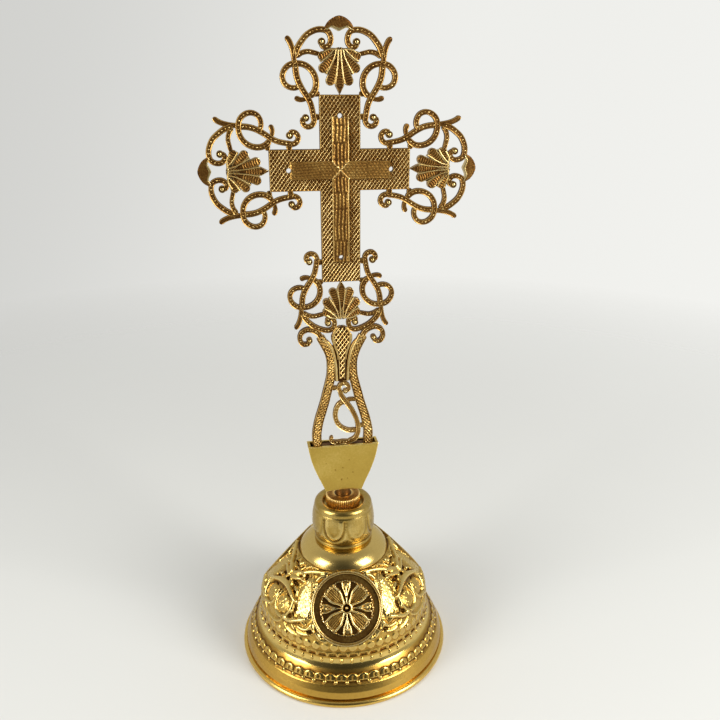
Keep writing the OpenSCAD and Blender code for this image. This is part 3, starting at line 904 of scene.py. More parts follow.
def rail(side):
    """One handle rail: plain raised edges with herringbone strokes between them."""
    path, s = evenly(catmull([(side * x, z) for x, z in RAIL]), 0.24)
    normals = left_normals(path)
    u = edge_to_edge(0, 0.12, 0.24, 0.36, 0.48, 0.6, 0.7, 0.78, 0.88, 0.96, 1)
    width = 3.7 + 0.5 * s / s[-1]
    half_w = width[:, None] / 2 * u[None, :]
    grid = path[:, None, :] + normals[:, None, :] * half_w[..., None]
    rng = np.random.default_rng(70 + side)
    knots = np.arange(0, s[-1] + 3, 1.7)
    jitter = np.interp(s, knots, rng.uniform(-0.16, 0.16, len(knots)))
    braid = []
    for lean, pitch in ((-1.3, 1.75), (1.1, 1.95)):
        phase = (s[:, None] + lean * side * half_w) / pitch + jitter[:, None]
        braid.append(ease(np.abs(((phase % 1) - 0.5) * 2), 0.42, 0.8))
    pattern = np.maximum(braid[0], 0.8 * braid[1]) * ease(0.78 - np.abs(u), 0.0, 0.1)[None, :]
    edge = ease(np.abs(u), 0.78, 0.86)[None, :] * np.sqrt(np.clip(1.02 - np.abs(u)**14, 0, 1))
    height = 1.0 + 0.4 * pattern + 0.4 * edge
    wear_and_shade = np.clip(0.3 + 0.52 * pattern + 0.58 * edge, 0, 1)
    return slab(grid, height, height, wear_and_shade)


def tapered(side_points, rows, u, height_of):
    """Plate between a right-hand outline, given from the top down, and its mirror image."""
    curve = catmull(side_points)
    outline = evenly(curve, arc_length(curve)[-1] / rows)[0]
    x = outline[:, :1] * u
    z = np.repeat(outline[:, 1:], len(u), 1)
    height, wear_and_shade = height_of(x, z, u + 0 * x)
    return slab(np.stack([x, z], -1), height, height, wear_and_shade)


def make_rails():
    parts = []
    for side in (-1, 1):
        parts.append(rail(side))
        parts += ribbon([(side * x, z) for x, z in VOLUTE], 2.3, 1.9, 1.3, 1.3, 1.15, 40 + side)

    def tongue(x, z, u):
        edge = np.clip((np.abs(u) - 0.94) / 0.06, 0, 1)
        height = 1.4 - 0.25 * edge**2 + 0.02 * np.sin(z * 3.1 + x)
        return height, 0.32 + 0.2 * edge

    parts.append(tapered(TONGUE, 24, edge_to_edge(0, 0.5, 0.9, 0.97, 1), tongue))
    cross_piece("handle_rails_roped", join(parts), "handle_rails")


def make_cone():
    def floor(x, z, u):
        rib = dome(np.abs(u) - 0.86, 0.16)
        return 0.72 + 0.45 * rib, np.clip(0.22 + 0.7 * rib, 0, 1)

    # the web between the rib and the rail is given a dark tone: painted shade
    def plain(x, z, u):
        return np.full(x.shape, 0.62), np.full(x.shape, 0.12)

    parts = [tapered(CONE, 70, edge_to_edge(0, 0.35, 0.7, 0.77, 0.86, 0.95, 1), floor),
             tapered(WEB, 20, edge_to_edge(0, 0.5, 1), plain)]
    outline = catmull(CONE)
    order = np.argsort(outline[:, 1])

    def allowed(px, pz):
        return (np.abs(px) < np.interp(pz, outline[order, 1], outline[order, 0]) * 0.84) \
            & (pz < -65.6) & (pz > -89)

    parts += lattice(allowed, (-5, -90, 5, -65), 1.75, 0.22, 0.68, 1.0, 6)
    for points in both_sides(RIB):
        parts.append(wire(points, 1.7, 1.3, 1.3))
    for points in both_sides([(4.1, -69), (4.1, -71), (3.2, -74), (2.1, -77.2), (1.75, -80)]):
        parts.append(wire(points, 0.8, 0.6, 1.15, 0.85))
    cross_piece("handle_cone_hatched", join(parts), "handle_cone")


def make_vine():
    # path, width at its two ends, half-thickness, eye, bead step
    rows = [(VINE, 2.3, 2.1, 1.14, 0.0, 0.0), (VINE_LOOP, 2.2, 2.1, 1.02, 0.0, 1.6),
            (VINE_CURL, 2.0, 1.7, 1.08, 1.1, 0.0),
            ([(-4.6, -94), (-3, -93.4), (-1, -94.2)], 2.0, 1.6, 1.0, 0.0, 0.0),
            ([(1.4, -100.2), (3.6, -99.4), (6.2, -99.6)], 1.8, 1.6, 1.0, 0.0, 0.0),
            ([(6.6, -112.6), (8.4, -112.6), (9.8, -112.2)], 1.8, 1.8, 1.0, 0.0, 0.0),
            ([(0.5, -90), (1.3, -91), (1.6, -92)], 2.2, 1.6, 1.0, 0.0, 0.0),
            ([(3, -120.4), (0, -120), (-2.6, -120.3), (-4.8, -119.5), (-5.3, -118.1),
              (-4.4, -117.1)], 2.0, 1.5, 1.05, 0.0, 1.4)]
    parts = []
    for number, (points, *sizes) in enumerate(rows):
        parts += ribbon(points, *sizes, seed=60 + number)
    verts, faces, wear_and_shade = join(parts)
    cross_piece("handle_vine_scrolls", (verts, faces, np.clip(wear_and_shade + 0.22, 0, 1)), "handle_vine")


# ---- pocket ----

MOUTH_Z, FLOOR_Z = 106.2, 83.0
POCKET_Y, SHEET = 3.5, 1.2
DROP = MOUTH_Z - FLOOR_Z
POCKET_SIDE = [(16, MOUTH_Z), (14.6, MOUTH_Z - DROP * 0.3), (12.4, MOUTH_Z - DROP * 0.58),
               (10, MOUTH_Z - DROP * 0.82), (8.3, FLOOR_Z)]


def pocket_plate(y_mid, seed):
    """Sheet of the pocket with eased edges, and a slight hand-worked waviness."""
    rng = np.random.default_rng(seed)
    u = np.concatenate([[-1, -0.992, -0.975], np.linspace(-0.96, 0.96, 97), [0.975, 0.992, 1]])
    t = np.concatenate([[0, 0.006, 0.02], np.linspace(0.03, 0.97, 90), [0.98, 0.994, 1]])
    outline = catmull(POCKET_SIDE, 12)
    z_flat = MOUTH_Z - t * DROP
    half_w = np.interp(-z_flat, -outline[:, 1], outline[:, 0])
    x = half_w[:, None] * u[None, :]
    # the lower edge bows up a little in the middle
    rise = 0.6 * np.clip((8.3 - np.abs(x)) / 6.3, 0, 1) * ease(t, 0.6, 1)[:, None]
    z = z_flat[:, None] + rise
    du = (1 - np.abs(u))[None, :] * half_w[:, None]
    dt = np.minimum(t, 1 - t)[:, None] * DROP
    ease_off = 0.16 * (1 - np.clip(np.minimum(du, dt) / 0.22, 0, 1))**2
    wave = sum(rng.uniform(0.003, 0.01) * np.sin(x * rng.uniform(0.2, 0.5) + z
               * rng.uniform(0.2, 0.5) + rng.uniform(0, 6)) for _ in range(5))
    dents = np.zeros(x.shape)
    for dent_x, dent_z in zip(rng.uniform(-8, 8, 9), rng.uniform(FLOOR_Z + 3, MOUTH_Z - 4, 9)):
        dents = np.maximum(dents, dome(np.hypot(x - dent_x, z - dent_z), rng.uniform(0.2, 0.45)))
    wave = wave - 0.12 * dents
    half = SHEET / 2 - ease_off
    wear_and_shade = np.clip(0.7 + 0.4 * (ease_off > 0.02) - 0.5 * dents, 0, 1)
    verts, faces, wear_and_shade = slab(np.stack([x, z], -1), half + wave * (half > 0.5), half, wear_and_shade)
    return verts + [0, y_mid, 0], faces, wear_and_shade


def pocket_wall():
    """Side and bottom wall of the pocket, one strip bent around its outline."""
    right = catmull(POCKET_SIDE, 12)
    path = np.concatenate([right * [-1, 1], [[-5, 83.3], [-2, 83.6], [2, 83.6], [5, 83.3]],
                           right[::-1]])
    inward = left_normals(path)
    inner = path + inward * SHEET
    y0, y1 = -POCKET_Y + SHEET, POCKET_Y - SHEET
    rows = []
    for edge, y in ((path, y0), (path, y1), (inner, y1), (inner, y0)):
        rows.append(np.stack([edge[:, 0], np.full(len(edge), y), edge[:, 1]], -1))
    n = len(path)
    index = np.arange(4 * n).reshape(4, n)
    index = np.concatenate([index, index[:1]], 0)
    faces = grid_faces(index).tolist()
    faces += [[0, n, 2 * n, 3 * n], [4 * n - 1, 3 * n - 1, 2 * n - 1, n - 1]]
    return np.concatenate(rows), faces, np.full(4 * n, 0.72)


def make_pocket():
    piece("pocket_front_plate", pocket_plate(-POCKET_Y + SHEET / 2, 21), "holder",
          ["pocket_front"], SATIN)
    tray = join([pocket_plate(POCKET_Y - SHEET / 2, 22), pocket_wall()])
    piece("pocket_back_tray", tray, "holder", ["pocket_tray"], SATIN)


# ---- finger disc and collar ----

KNURLS = 56
COLLAR_COLUMNS = 512


def make_disc():
    profile = np.array([(4.0, 75.0), (7.2, 75.0), (7.7, 75.2), (8.0, 75.6), (8.05, 76.0),
                        (8.05, 77.3), (8.05, 77.7), (8.05, 79.0), (8.0, 79.4), (7.7, 79.8),
                        (7.3, 79.95), (6.6, 80.0), (6.0, 79.95), (5.4, 80.0), (4.0, 80.0)])
    columns = KNURLS * 8
    cut = 0.5 - 0.5 * np.cos(KNURLS * around(columns))
    # share of the knurl's cut, and of the top's grain and painted shadow, at each point of the
    # profile
    on_side = np.array([0, 0, 0.2, 0.8, 1, 1, 1, 1, 0.8, 0.2, 0, 0, 0, 0, 0])
    relief = -0.35 * on_side[:, None] * cut[None, :]
    rng = np.random.default_rng(31)
    top = np.array([0, 0, 0, 0, 0, 0, 0, 0, 0, 0, 0.5, 1, 1, 1, 0])
    relief -= 0.06 * top[:, None] * rng.uniform(0, 1, (len(profile), columns))
    wear_and_shade = 0.95 - 0.75 * on_side[:, None] * cut[None, :]
    # the top, under the pocket, is dark with bright specks: partly its rough grain, partly painted
    # shadow
    wear_and_shade = np.where(top[:, None] > 0, 0.15 + 0.4 * rng.uniform(0, 1, wear_and_shade.shape)**2, wear_and_shade)
    piece("finger_disc_knurled", revolve(profile, relief, wear_and_shade), "holder",
          ["knurled_disc"], COPPER_PAINTED_LIGHT)


COLLAR_OUT = [(13.2, 57.1), (13.5, 57.5), (13.6, 58.4), (13.45, 59.0), (13.15, 59.5)]
COLLAR_BARREL = [(13.5, 60), (14.3, 63), (14.5, 65.7), (14.4, 69), (13.8, 73.4)]
COLLAR_ROLL = [(13.5, 73.8), (13.4, 75.4), (12.6, 76.6), (11.2, 77), (9.8, 76.5), (9, 75.2),
               (8.8, 74)]
COLLAR_R = 14.3  # radius at which the swags are measured
SWAGS = 8
COLLAR_IN = [(6, 74), (6, 73), (9.8, 73), (10.6, 75.2), (12, 75), (12.4, 73.2), (13.1, 69),
             (13.2, 65.7), (13, 63), (12.1, 59), (12.1, 57.1)]


def swags(a, z):
    """Embossed swags and knots around the collar, as a height in millimetres."""
    step = math.radians(360 / SWAGS)
    place = (a - math.radians(-115.8)) / step + 0.5
    mm = (place % 1 - 0.5) * step * COLLAR_R
    outer, inner = [distance_to(mm, z, catmull(mirrored(half)))[0] for half in (
        [(-5.1, 72.2), (-4.9, 68), (-3.4, 63.8), (0, 61.6)],
        [(-2.9, 68.6), (-1.9, 66), (0, 64.9)])]
    number = np.floor(place).astype(int) % SWAGS
    depth = np.array([1.0, 0.35, 0.6, 0.3, 0.7, 0.4, 0.55, 0.3])[number]
    h = depth * (0.16 * dome(outer - 1.5, 1.3) - 0.3 * dome(outer, 0.9) ** 2
                 - 0.12 * dome(inner, 1.0) ** 2)
    knot = ((a - math.radians(-93.3)) / step + 0.5) % 1 - 0.5
    kx = knot * step * COLLAR_R
    for dx, kz, r in ((0, 71.2, 0.6), (0.1, 69.6, 0.45), (-0.1, 68.4, 0.35), (0.6, 67.4, 0.3)):
        h = h + 0.14 * dome(np.hypot(kx - dx, z - kz), r)
    return h


def make_collar():
    out = np.concatenate([COLLAR_OUT, evenly(catmull(COLLAR_BARREL), 0.25)[0],
                          evenly(catmull(COLLAR_ROLL), 0.35)[0]])
    grid_a, grid_z = np.meshgrid(around(COLLAR_COLUMNS), out[:, 1])
    band = ease(grid_z, 60.2, 61.2) * (1 - ease(grid_z, 72.2, 73.2))
    band = band * (np.arange(len(out)) < len(COLLAR_OUT) + 58)[:, None]
    h = swags(grid_a, grid_z) * band
    rng = np.random.default_rng(8)
    for _ in range(7):
        k = rng.integers(2, 9)
        h += 0.012 * np.sin(k * grid_a + grid_z * rng.uniform(0.2, 0.7) + rng.uniform(0, 6)) * band
    wear_and_shade = np.clip(0.75 + h * 1.3, 0.05, 1)
    # a dark ring in the step between the lower roll and the barrel: painted shade in the groove
    wear_and_shade = np.where((np.abs(out[:, 1] - 59.6) < 0.35)[:, None], 0.1, wear_and_shade)
    base_piece("collar_turned", lined_ring(out, COLLAR_IN, h, wear_and_shade, 0.6), "collar", COLLAR)


# ---- base ----

BASE_TURN = -5.5  # degrees; the front medallion stands a little to the left
MEDALS = 3
MEDAL_R, MEDAL_AT, MEDAL_LEAN = 16.4, (30.8, 38.8), 54.0
SPLIT_Z = 20.0  # where the dome stands on the foot
SKIN = 0.5  # half the sheet's thickness
TONGUES, COINS, DROPS, STROKES = 56, 60, 54, 72  # repeats around the base
FOOT_COLUMNS, DOME_COLUMNS, SHOULDER_COLUMNS, MEDAL_COLUMNS = 896, 1080, 288, 384
OVAL_AT = (52, 16.2)  # degrees from the medallion, mm up the dome
FOOT_MID = [(47.3, 1), (47.4, 2.6), (47.8, 3.6), (47.2, 6.2), (46, 8.8), (45, 9.5), (44.4, 10.6),
            (43.2, 12.8), (42.4, 13.8)]
COVE_MID = [(41.4, 14.9), (40.4, 17), (40, 19.6)]
DOME_MID = [(39.7, 20.4), (39.5, 23.4), (39.1, 28), (38, 31.8), (35.9, 35.7), (32.8, 39.7),
            (28.9, 43.8), (24.7, 47.6), (21, 50.8)]
SHOULDER_MID = [(20.6, 51.1), (19.6, 53.1), (17.6, 55), (15, 56.4), (12.6, 56.6)]


def offset(path, d):
    """Path moved outwards by d."""
    return path - left_normals(path) * d


def medal_turn(number):
    """Direction that a medallion faces, in degrees."""
    return -90 + BASE_TURN + 360 / MEDALS * number


def medal_angle(columns):
    """Angle of each column from the nearest medallion, in degrees from -60 to 60."""
    return (around_degrees(columns) - medal_turn(0) + 60) % 120 - 60


def from_repeat(a, count, r, shift=0.0):
    """Distance in mm from the middle of the nearest of a ring's repeats; a is in degrees."""
    return ((a / (360 / count) + shift) % 1 - 0.5) * 2 * math.pi * r / count


def make_foot():
    cove = catmull(COVE_MID, 10)
    mid = np.concatenate([catmull(FOOT_MID[:5], 1), catmull(FOOT_MID[5:], 4), cove])
    mid = mid[mid[:, 1] <= SPLIT_Z]
    outer = evenly(offset(np.concatenate([mid, [[40.0, SPLIT_Z]]]), SKIN), 0.25)[0]
    inner = evenly(offset(mid, -SKIN), 1.4)[0][::-1]
    a, z = np.meshgrid(around_degrees(FOOT_COLUMNS), outer[:, 1])
    # row of tongues with scalloped tops, and a bead in each gap
    r = 44
    x = from_repeat(a, TONGUES, r)
    top = 13.4 - 0.9 * (np.abs(x) * TONGUES / (math.pi * r))**2
    tongue = ease(top - z, -0.15, 0.25) * ease(z, 10.4, 10.9)
    h = tongue * (0.3 + 0.35 * dome(x, 2.4))
    h -= 0.25 * dome(x, 0.35) * ease(z, 10.4, 10.8) * (1 - ease(z, 12.2, 12.8))
    x = from_repeat(a, TONGUES, 44.5, 0.5)
    h = np.maximum(h, 0.75 * dome(np.hypot(x, (z - 10.1) * 1.1), 0.85))
    h -= 0.3 * dome(z - 9.3, 0.5)
    # drops that hang from the dome's edge over the cove
    x = from_repeat(a, TONGUES, 40.5)
    h = np.maximum(h, 0.8 * dome(np.hypot(x, (z - 18.1) * 0.62), 0.66))
    wear_and_shade = np.where(z < 9.2, 0.6, wear_and_shade_of(h, 0.5, 16, 0.5))
    cove = ease(z, 14.4, 15.2) * (1 - ease(z, 18.6, 19.6)) * (h < 0.05)
    wear_and_shade = wear_and_shade + (0.96 - wear_and_shade) * cove
    base_piece("foot_spun", lined_ring(outer, inner, h, wear_and_shade, 0.5), "base_foot", FOOT)


def leaf(a, s, r, path, w0, w1, rise):
    """Height of a tapering round-backed leaf along a path of (degrees, mm) points."""
    scale = math.pi / 180 * r
    d, share = distance_to(a * scale, s, catmull(path, 4), scale)
    half = w0 + (w1 - w0) * share
    return rise * dome(d, half) * (0.75 + 0.25 * dome(share - 0.4, 0.7))


# path of (degrees from a medallion, mm up the dome), half-width at its two ends, rise
LEAVES = [
    # branch that arches from the medallion's shoulder over the stippled panel
    ([(19, 36.6), (24, 36.2), (32, 35.7), (40, 34.7), (47, 33), (52, 31), (56, 28.6)],
     0.8, 1.3, 1.7),
    # three fingers that fan out from the branch's end
    ([(57.5, 30.2), (52.5, 31.6), (48, 32.2), (45, 31.4)], 1.6, 0.9, 1.9),
    ([(57.5, 28.4), (52, 29), (47, 29.8), (43.8, 29.4)], 1.5, 0.8, 1.8),
    ([(57, 26.8), (54.4, 25.4), (54, 24)], 1.2, 0.9, 1.4),
    # big leaf that reaches in to the panel
    ([(59, 24.4), (55, 24), (50, 22.8), (45.5, 21.2), (41.5, 20.2)], 1.9, 0.9, 2.1),
    ([(48.2, 25.4), (45.4, 24.2), (43, 22.4)], 0.9, 0.6, 1.2),
    # strand that curls round the textured oval
    ([(44.4, 20.4), (43, 18.2), (43.6, 15.4), (46, 12.6), (50.4, 11), (55, 11.6)], 0.9, 0.8, 1.6),
    ([(58.4, 20.4), (59.2, 17), (58, 13.8), (55.4, 12)], 0.6, 0.5, 1.2),
    # tips beside the panel's foot
    ([(47, 11.8), (42, 11.7), (37.4, 12.8), (31, 14.6)], 1.4, 0.9, 1.7),
    ([(42.4, 17.4), (40.8, 14.6), (38.4, 12.8)], 0.8, 0.8, 1.3),
    ([(34.6, 14.8), (32, 13.2), (29.4, 12.4)], 1.0, 0.6, 1.2),
    # bud and thin stalk beside the medallion's shoulder
    ([(23.4, 34.8), (27, 34), (30, 32)], 1.8, 0.9, 1.4),
    ([(37.6, 33.4), (34, 30.8), (31.3, 27.4), (30.2, 24)], 0.5, 0.35, 0.7),
    # low scrolls under the panel
    ([(24.6, 12.8), (22.6, 10.6), (19.6, 9.4), (18.4, 8)], 0.9, 0.6, 1.0),
    ([(25, 13.2), (27.4, 11), (31, 10.3), (35, 10.9)], 1.0, 0.6, 1.0),
    ([(26, 8.8), (31, 8), (36, 8.8), (39.4, 10.2)], 0.9, 0.5, 0.9),
    ([(14.6, 7.1), (18, 7.4), (20.6, 8.6)], 0.8, 0.5, 0.8),
    ([(33, 6.9), (38, 6.5), (43, 7.4), (46, 9.2)], 0.8, 0.5, 0.8),
    ([(59.4, 6.8), (54, 7.2), (50, 8.8), (48.6, 10)], 0.8, 0.5, 0.9),
    # buds under the shoulder
    ([(36, 37.2), (42, 37), (47.6, 35.8)], 0.9, 0.5, 1.0),
    ([(50, 35.4), (53, 33.6), (57, 32.6)], 0.8, 0.6, 1.0),
    ([(56, 36.4), (59.4, 35), (59, 32.8)], 0.8, 0.6, 1.0),
]

# hollows between the leaves: degrees, mm up the dome, half-width and half-height in mm
HOLLOWS = [(42.6, 31.8, 0.9, 1.4), (50.4, 26.9, 2.0, 0.9), (46.4, 23.6, 1.3, 0.7),
           (39.9, 17.2, 0.9, 2.4), (40.6, 14.6, 0.9, 1.2), (53.6, 34.7, 1.0, 0.6),
           (59.6, 33.8, 0.7, 0.7), (25.6, 9.8, 1.6, 1.0), (21.6, 11.4, 0.9, 1.2),
           (48, 11.4, 0.7, 0.8), (42.6, 5.9, 0.7, 0.5), (59.2, 26.4, 0.9, 0.7),
           (51, 20.8, 1.5, 0.5), (35.8, 8.6, 0.8, 0.6), (17, 8.9, 0.7, 0.6)]


def hollows(side, s, r):
    """Depth, 0 to 1, of the hollows between the leaves, which are also painted dark as shade."""
    deep = np.zeros(side.shape)
    for spot_a, spot_s, half_a, half_s in HOLLOWS:
        mm = (side - spot_a) * math.pi / 180 * r
        deep = np.maximum(deep, dome(np.hypot(mm / half_a, (s - spot_s) / half_s), 1.0))
    return deep


def dome_relief(a, s, r):
    """Embossed ornament of the dome; a is degrees from a medallion, s is mm up the dome."""
    side = np.abs(a)
    h = np.zeros(a.shape)
    for path, w0, w1, rise in LEAVES:
        h = np.maximum(h, leaf(side, s, r, path, w0, w1, rise))
    # oval boss under the big leaf
    mm = (side - OVAL_AT[0]) * math.pi / 180 * r
    h = np.maximum(h, 0.8 * dome(np.hypot(mm / 4.6, (s - OVAL_AT[1]) / 3.9), 1.0))
    # row of overlapping coins over a plain bead and a row of drops
    d = np.hypot(from_repeat(a, COINS, r), s - 4.2)
    h = np.maximum(h, 0.62 * ease(2.0 - d, -0.1, 0.35) - 0.12 * dome(d, 1.2))
    h = np.maximum(h, 0.45 * dome(s - 1.3, 0.55))
    x = from_repeat(a, DROPS, r, 0.5)
    h = np.maximum(h, 0.8 * dome(np.hypot(x, (s - 0.1) * 0.7), 0.8))
    # feathery strokes under the shoulder
    x = from_repeat(a + (s - 35) * 1.1 * np.sign(a), STROKES, r)
    return np.maximum(h, 0.45 * dome(x, 0.6) * ease(s, 33.6, 35) * (1 - ease(s, 36.6, 37.2)))


def stipple(s, r, count, size, low, high, seed):
    """Fine punched dots over a band of the dome."""
    rng = np.random.default_rng(seed)
    h = np.zeros(s.shape)
    row_step = s[1, 0] - s[0, 0]
    col_step = 360 / s.shape[1]
    near = np.arange(-3, 4)
    for spot_a, spot_s in zip(rng.uniform(0, 360, count), rng.uniform(low, high, count)):
        i, j = int(spot_s / row_step), int(spot_a / col_step)
        rows = np.clip(i + near, 0, s.shape[0] - 1)
        dy = (rows - spot_s / row_step) * row_step
        dx = (j + near - spot_a / col_step) * math.radians(col_step) * r[i, 0]
        cells = np.ix_(rows, (j + near) % s.shape[1])
        h[cells] = np.maximum(h[cells], dome(np.hypot(dx[None, :], dy[:, None]), size))
    return h


def beside_medallion(verts, limit):
    """True for points farther than limit from every medallion's axis."""
    lean = math.radians(MEDAL_LEAN)
    clear = np.ones(len(verts), bool)
    for i in range(MEDALS):
        a = math.radians(medal_turn(i))
        axis = np.array([math.sin(lean) * math.cos(a), math.sin(lean) * math.sin(a),
                         math.cos(lean)])
        centre = np.array([MEDAL_AT[0] * math.cos(a), MEDAL_AT[0] * math.sin(a), MEDAL_AT[1]])
        d = verts - centre
        along = d @ axis
        clear &= (np.linalg.norm(d - along[:, None] * axis, axis=1) > limit) | (along < -12)
    return clear


def make_dome():
    mid = catmull(DOME_MID, 10)
    outer, s_out = evenly(offset(mid, SKIN), 0.28)
    outer[0] = (40.15, SPLIT_Z)
    inner = evenly(offset(mid, -SKIN), 1.6)[0][::-1]
    inner[-1] = (39.15, SPLIT_Z)
    a, s = np.meshgrid(medal_angle(DOME_COLUMNS), s_out)
    r = np.repeat(outer[:, :1], DOME_COLUMNS, 1)
    side = np.abs(a)
    h = dome_relief(a, s, r)
    dots = stipple(s, r, 5200, 0.34, 6, 31, 15)
    plain = 1 - ease(h, 0.15, 0.45)
    mm = (side - OVAL_AT[0]) * math.pi / 180 * r
    oval = np.hypot(mm / 4.2, (s - OVAL_AT[1]) / 3.5) < 1
    panel = ease(side, 26, 29) * (1 - ease(side, 39, 43))
    panel = panel * ease(s, 13, 16) * (1 - ease(s, 30, 33))
    deep = hollows(side, s, r)
    h = blur(h, 2)
    h = h + plain * (0.16 * dots + 0.4 * panel) + 0.2 * oval * dots - 0.5 * deep
    h *= ease(s, -0.4, 0.2) * (1 - ease(s, s_out[-1] - 0.7, s_out[-1]))
    # the hollows between the leaves are pressed in and painted darker still: painted shade
    wear_and_shade = wear_and_shade_of(h, 1.3, 40, 0.6) - 0.55 * deep + 0.22 * panel * plain
    wear_and_shade = np.clip(wear_and_shade - 0.12 * ease(2.6 - s, 0, 1), 0, 1)
    verts, faces, wear_and_shade = lined_ring(outer, inner, h, wear_and_shade, 0.5)
    clear = beside_medallion(verts, MEDAL_R - 0.5)
    faces = np.array(faces)
    faces = faces[clear[faces].any(1)]
    base_piece("dome_embossed", compact(verts, faces, wear_and_shade), "base_dome", POLISHED)


def make_shoulder():
    mid = np.concatenate([[(21.2, 50.2)], catmull(SHOULDER_MID, 8), [(10, 56.6), (6, 56.6)]])
    profile = np.concatenate([offset(mid, SKIN), offset(mid, -SKIN)[::-1]])
    wear_and_shade = np.full((len(profile), SHOULDER_COLUMNS), 0.85)
    # the rows where the shoulder meets the dome are painted dark: painted shade in the seam
    wear_and_shade[:2] = 0.2
    base_piece("dome_shoulder", revolve(profile, 0 * wear_and_shade, wear_and_shade), "base_dome", POLISHED)


def spoke(x, y, turn):
    """Distances along and across a spoke that stands at an angle from +y."""
    return x * math.sin(turn) + y * math.cos(turn), x * math.cos(turn) - y * math.sin(turn)


def medal_face(x, y):
    """Height and tone, rubbing with painted shade, of a medallion's face over its plane; y points
    up the dome.
    """
    rho = np.hypot(x, y)
    phi = np.arctan2(x, y)
    floor = -0.75
    h = np.where(rho < 12, floor + 0.04, -0.95 + 0.32 * ((rho - 13.4) / 1.5)**2)
    # the face's floor is dark and the moat around it darker still: painted shade in the recesses
    wear_and_shade = np.where(rho < 12, 0.16, 0.06)

    def lay(top, tone):
        nonlocal h, wear_and_shade
        wear_and_shade = np.where(top > h, tone, wear_and_shade)
        h = np.maximum(h, top)

    def ridge(d, half, rise, bright=1.0):
        back = dome(d, half)
        lay(floor + rise * back, bright * (0.35 + 0.65 * back))

    for k in range(4):
        # broad petals on the diagonals, with striations between bold edges
        p, q = spoke(x, y, math.pi / 4 + k * math.pi / 2)
        half = 0.6 + 2.3 * ease(p, 1.4, 7.6)
        body = (p > 2.2) & (p < 11.2 - 0.06 * q * q) & (np.abs(q) < half)
        comb = np.cos(2 * math.pi * q / (0.62 + 0.035 * p))
        across = np.abs(q) / half
        lay(np.where(body, -0.55 + 0.22 * across**2 + 0.07 * comb, -9),
            0.36 + 0.12 * comb + 0.2 * across**2)
        long_enough = np.where((p > 2.0) & (p < 11.0), 0, 9)
        ridge(np.abs(np.abs(q) - half) + long_enough, 0.74, 1.4)
        ridge(np.abs(np.abs(q) - half * 0.55) + long_enough, 0.26, 0.55, 0.7)
        ridge(np.abs(p - 11.0 + 0.06 * q * q) + np.where(np.abs(q) < half, 0, 9), 0.4, 0.9, 0.85)
        # forked leaves between the petals
        p, q = spoke(x, y, k * math.pi / 2)
        lobe_d = np.hypot(q / 1.5, (p - 9.6) / 1.7)
        lay(floor + 0.55 * dome(lobe_d, 1.0), 0.55 + 0.2 * dome(lobe_d, 1.0))
        for path in ([(0, 2.4), (0, 9)], [(0, 4.2), (0.6, 6.4), (1.5, 8.6), (1.7, 10.8)],
                     [(0, 4.2), (-0.6, 6.4), (-1.5, 8.6), (-1.7, 10.8)]):
            d, share = distance_to(q, p, path)
            ridge(d, 0.36 + 0.2 * share, 1.05)
    ridge(rho - 11.55 - 0.32 * np.abs(np.cos(11 * phi + 0.4)), 0.46, 1.15, 0.95)
    # the sunk ring around the middle knob is painted near black: painted shade
    boss = rho < 1.75
    h = np.where(boss, -0.6, h)
    wear_and_shade = np.where(boss, 0.02, wear_and_shade)
    ridge(rho - 2.15, 0.56, 1.5)
    ridge(rho, 0.8, 1.15, 0.9)
    rim = rho > 14.65
    h = np.where(rim, np.maximum(h, 0.1), h)
    wear_and_shade = np.where(rim, 0.42, wear_and_shade)
    ridge(rho - 15.05, 0.42, 1.3, 0.8)
    ridge(rho - 15.85, 0.54, 1.45, 0.9)
    return h, wear_and_shade


def make_medallions():
    rho = np.concatenate([np.linspace(0.05, 12.6, 56), np.linspace(12.9, 14.5, 6),
                          np.linspace(14.6, MEDAL_R, 16)])
    columns = MEDAL_COLUMNS
    phi = around(columns)
    r, p = np.meshgrid(rho, phi, indexing="ij")
    right, up = r * np.sin(p), r * np.cos(p)
    h, wear_and_shade = medal_face(right, up)
    under = [(MEDAL_R, -3.0), (MEDAL_R - 1.2, -3.0), (MEDAL_R - 1.2, -1.9), (8, -1.9),
             (0.05, -1.9)]
    for radius, z in under:
        right = np.concatenate([right, [radius * np.sin(phi)]])
        up = np.concatenate([up, [radius * np.cos(phi)]])
        h = np.concatenate([h, [np.full(columns, z)]])
        wear_and_shade = np.concatenate([wear_and_shade, [np.full(columns, 0.5)]])
    faces = grid_faces(ring_index(len(h), columns)).tolist()
    faces += [list(range(columns)), list(range((len(h) - 1) * columns, len(h) * columns))[::-1]]
    lean = math.radians(MEDAL_LEAN)
    for i in range(MEDALS):
        a = math.radians(medal_turn(i))
        out = MEDAL_AT[0] - up * math.cos(lean) + h * math.sin(lean)
        z = MEDAL_AT[1] + up * math.sin(lean) + h * math.cos(lean)
        verts = np.stack([out * math.cos(a) - right * math.sin(a),
                          out * math.sin(a) + right * math.cos(a), z], -1).reshape(-1, 3)
        base_piece(f"medallion_{i + 1}", (verts, faces, wear_and_shade.ravel()), "base_dome", MEDAL)


def finish_cad_nodes():
    """Gives the CAD nodes that stay in view their procedural metals."""
    for name, material in (("rim_ring", WIRE), ("neck_bush", WIRE), ("clamp_washer", RAW),
                           ("clamp_nut", RAW), ("holder_stud", STUD_SHADE)):
        mesh = frame["nodes"][name].data
        mesh.materials.clear()
        mesh.materials.append(material)


# ---- studio, in metres and watts ----

FLOOR_R = 2.4
FADE = (0.08, 0.75)  # distances between which the floor fades away
SOFT_BOX = (0.4, 0.6)
AIM = (0, 0, 0.12)
WARM_WHITE = (1.0, 0.985, 0.96)
BLUE_SHARE = 0.965  # blue of the studio's greys, as a share of their red and green


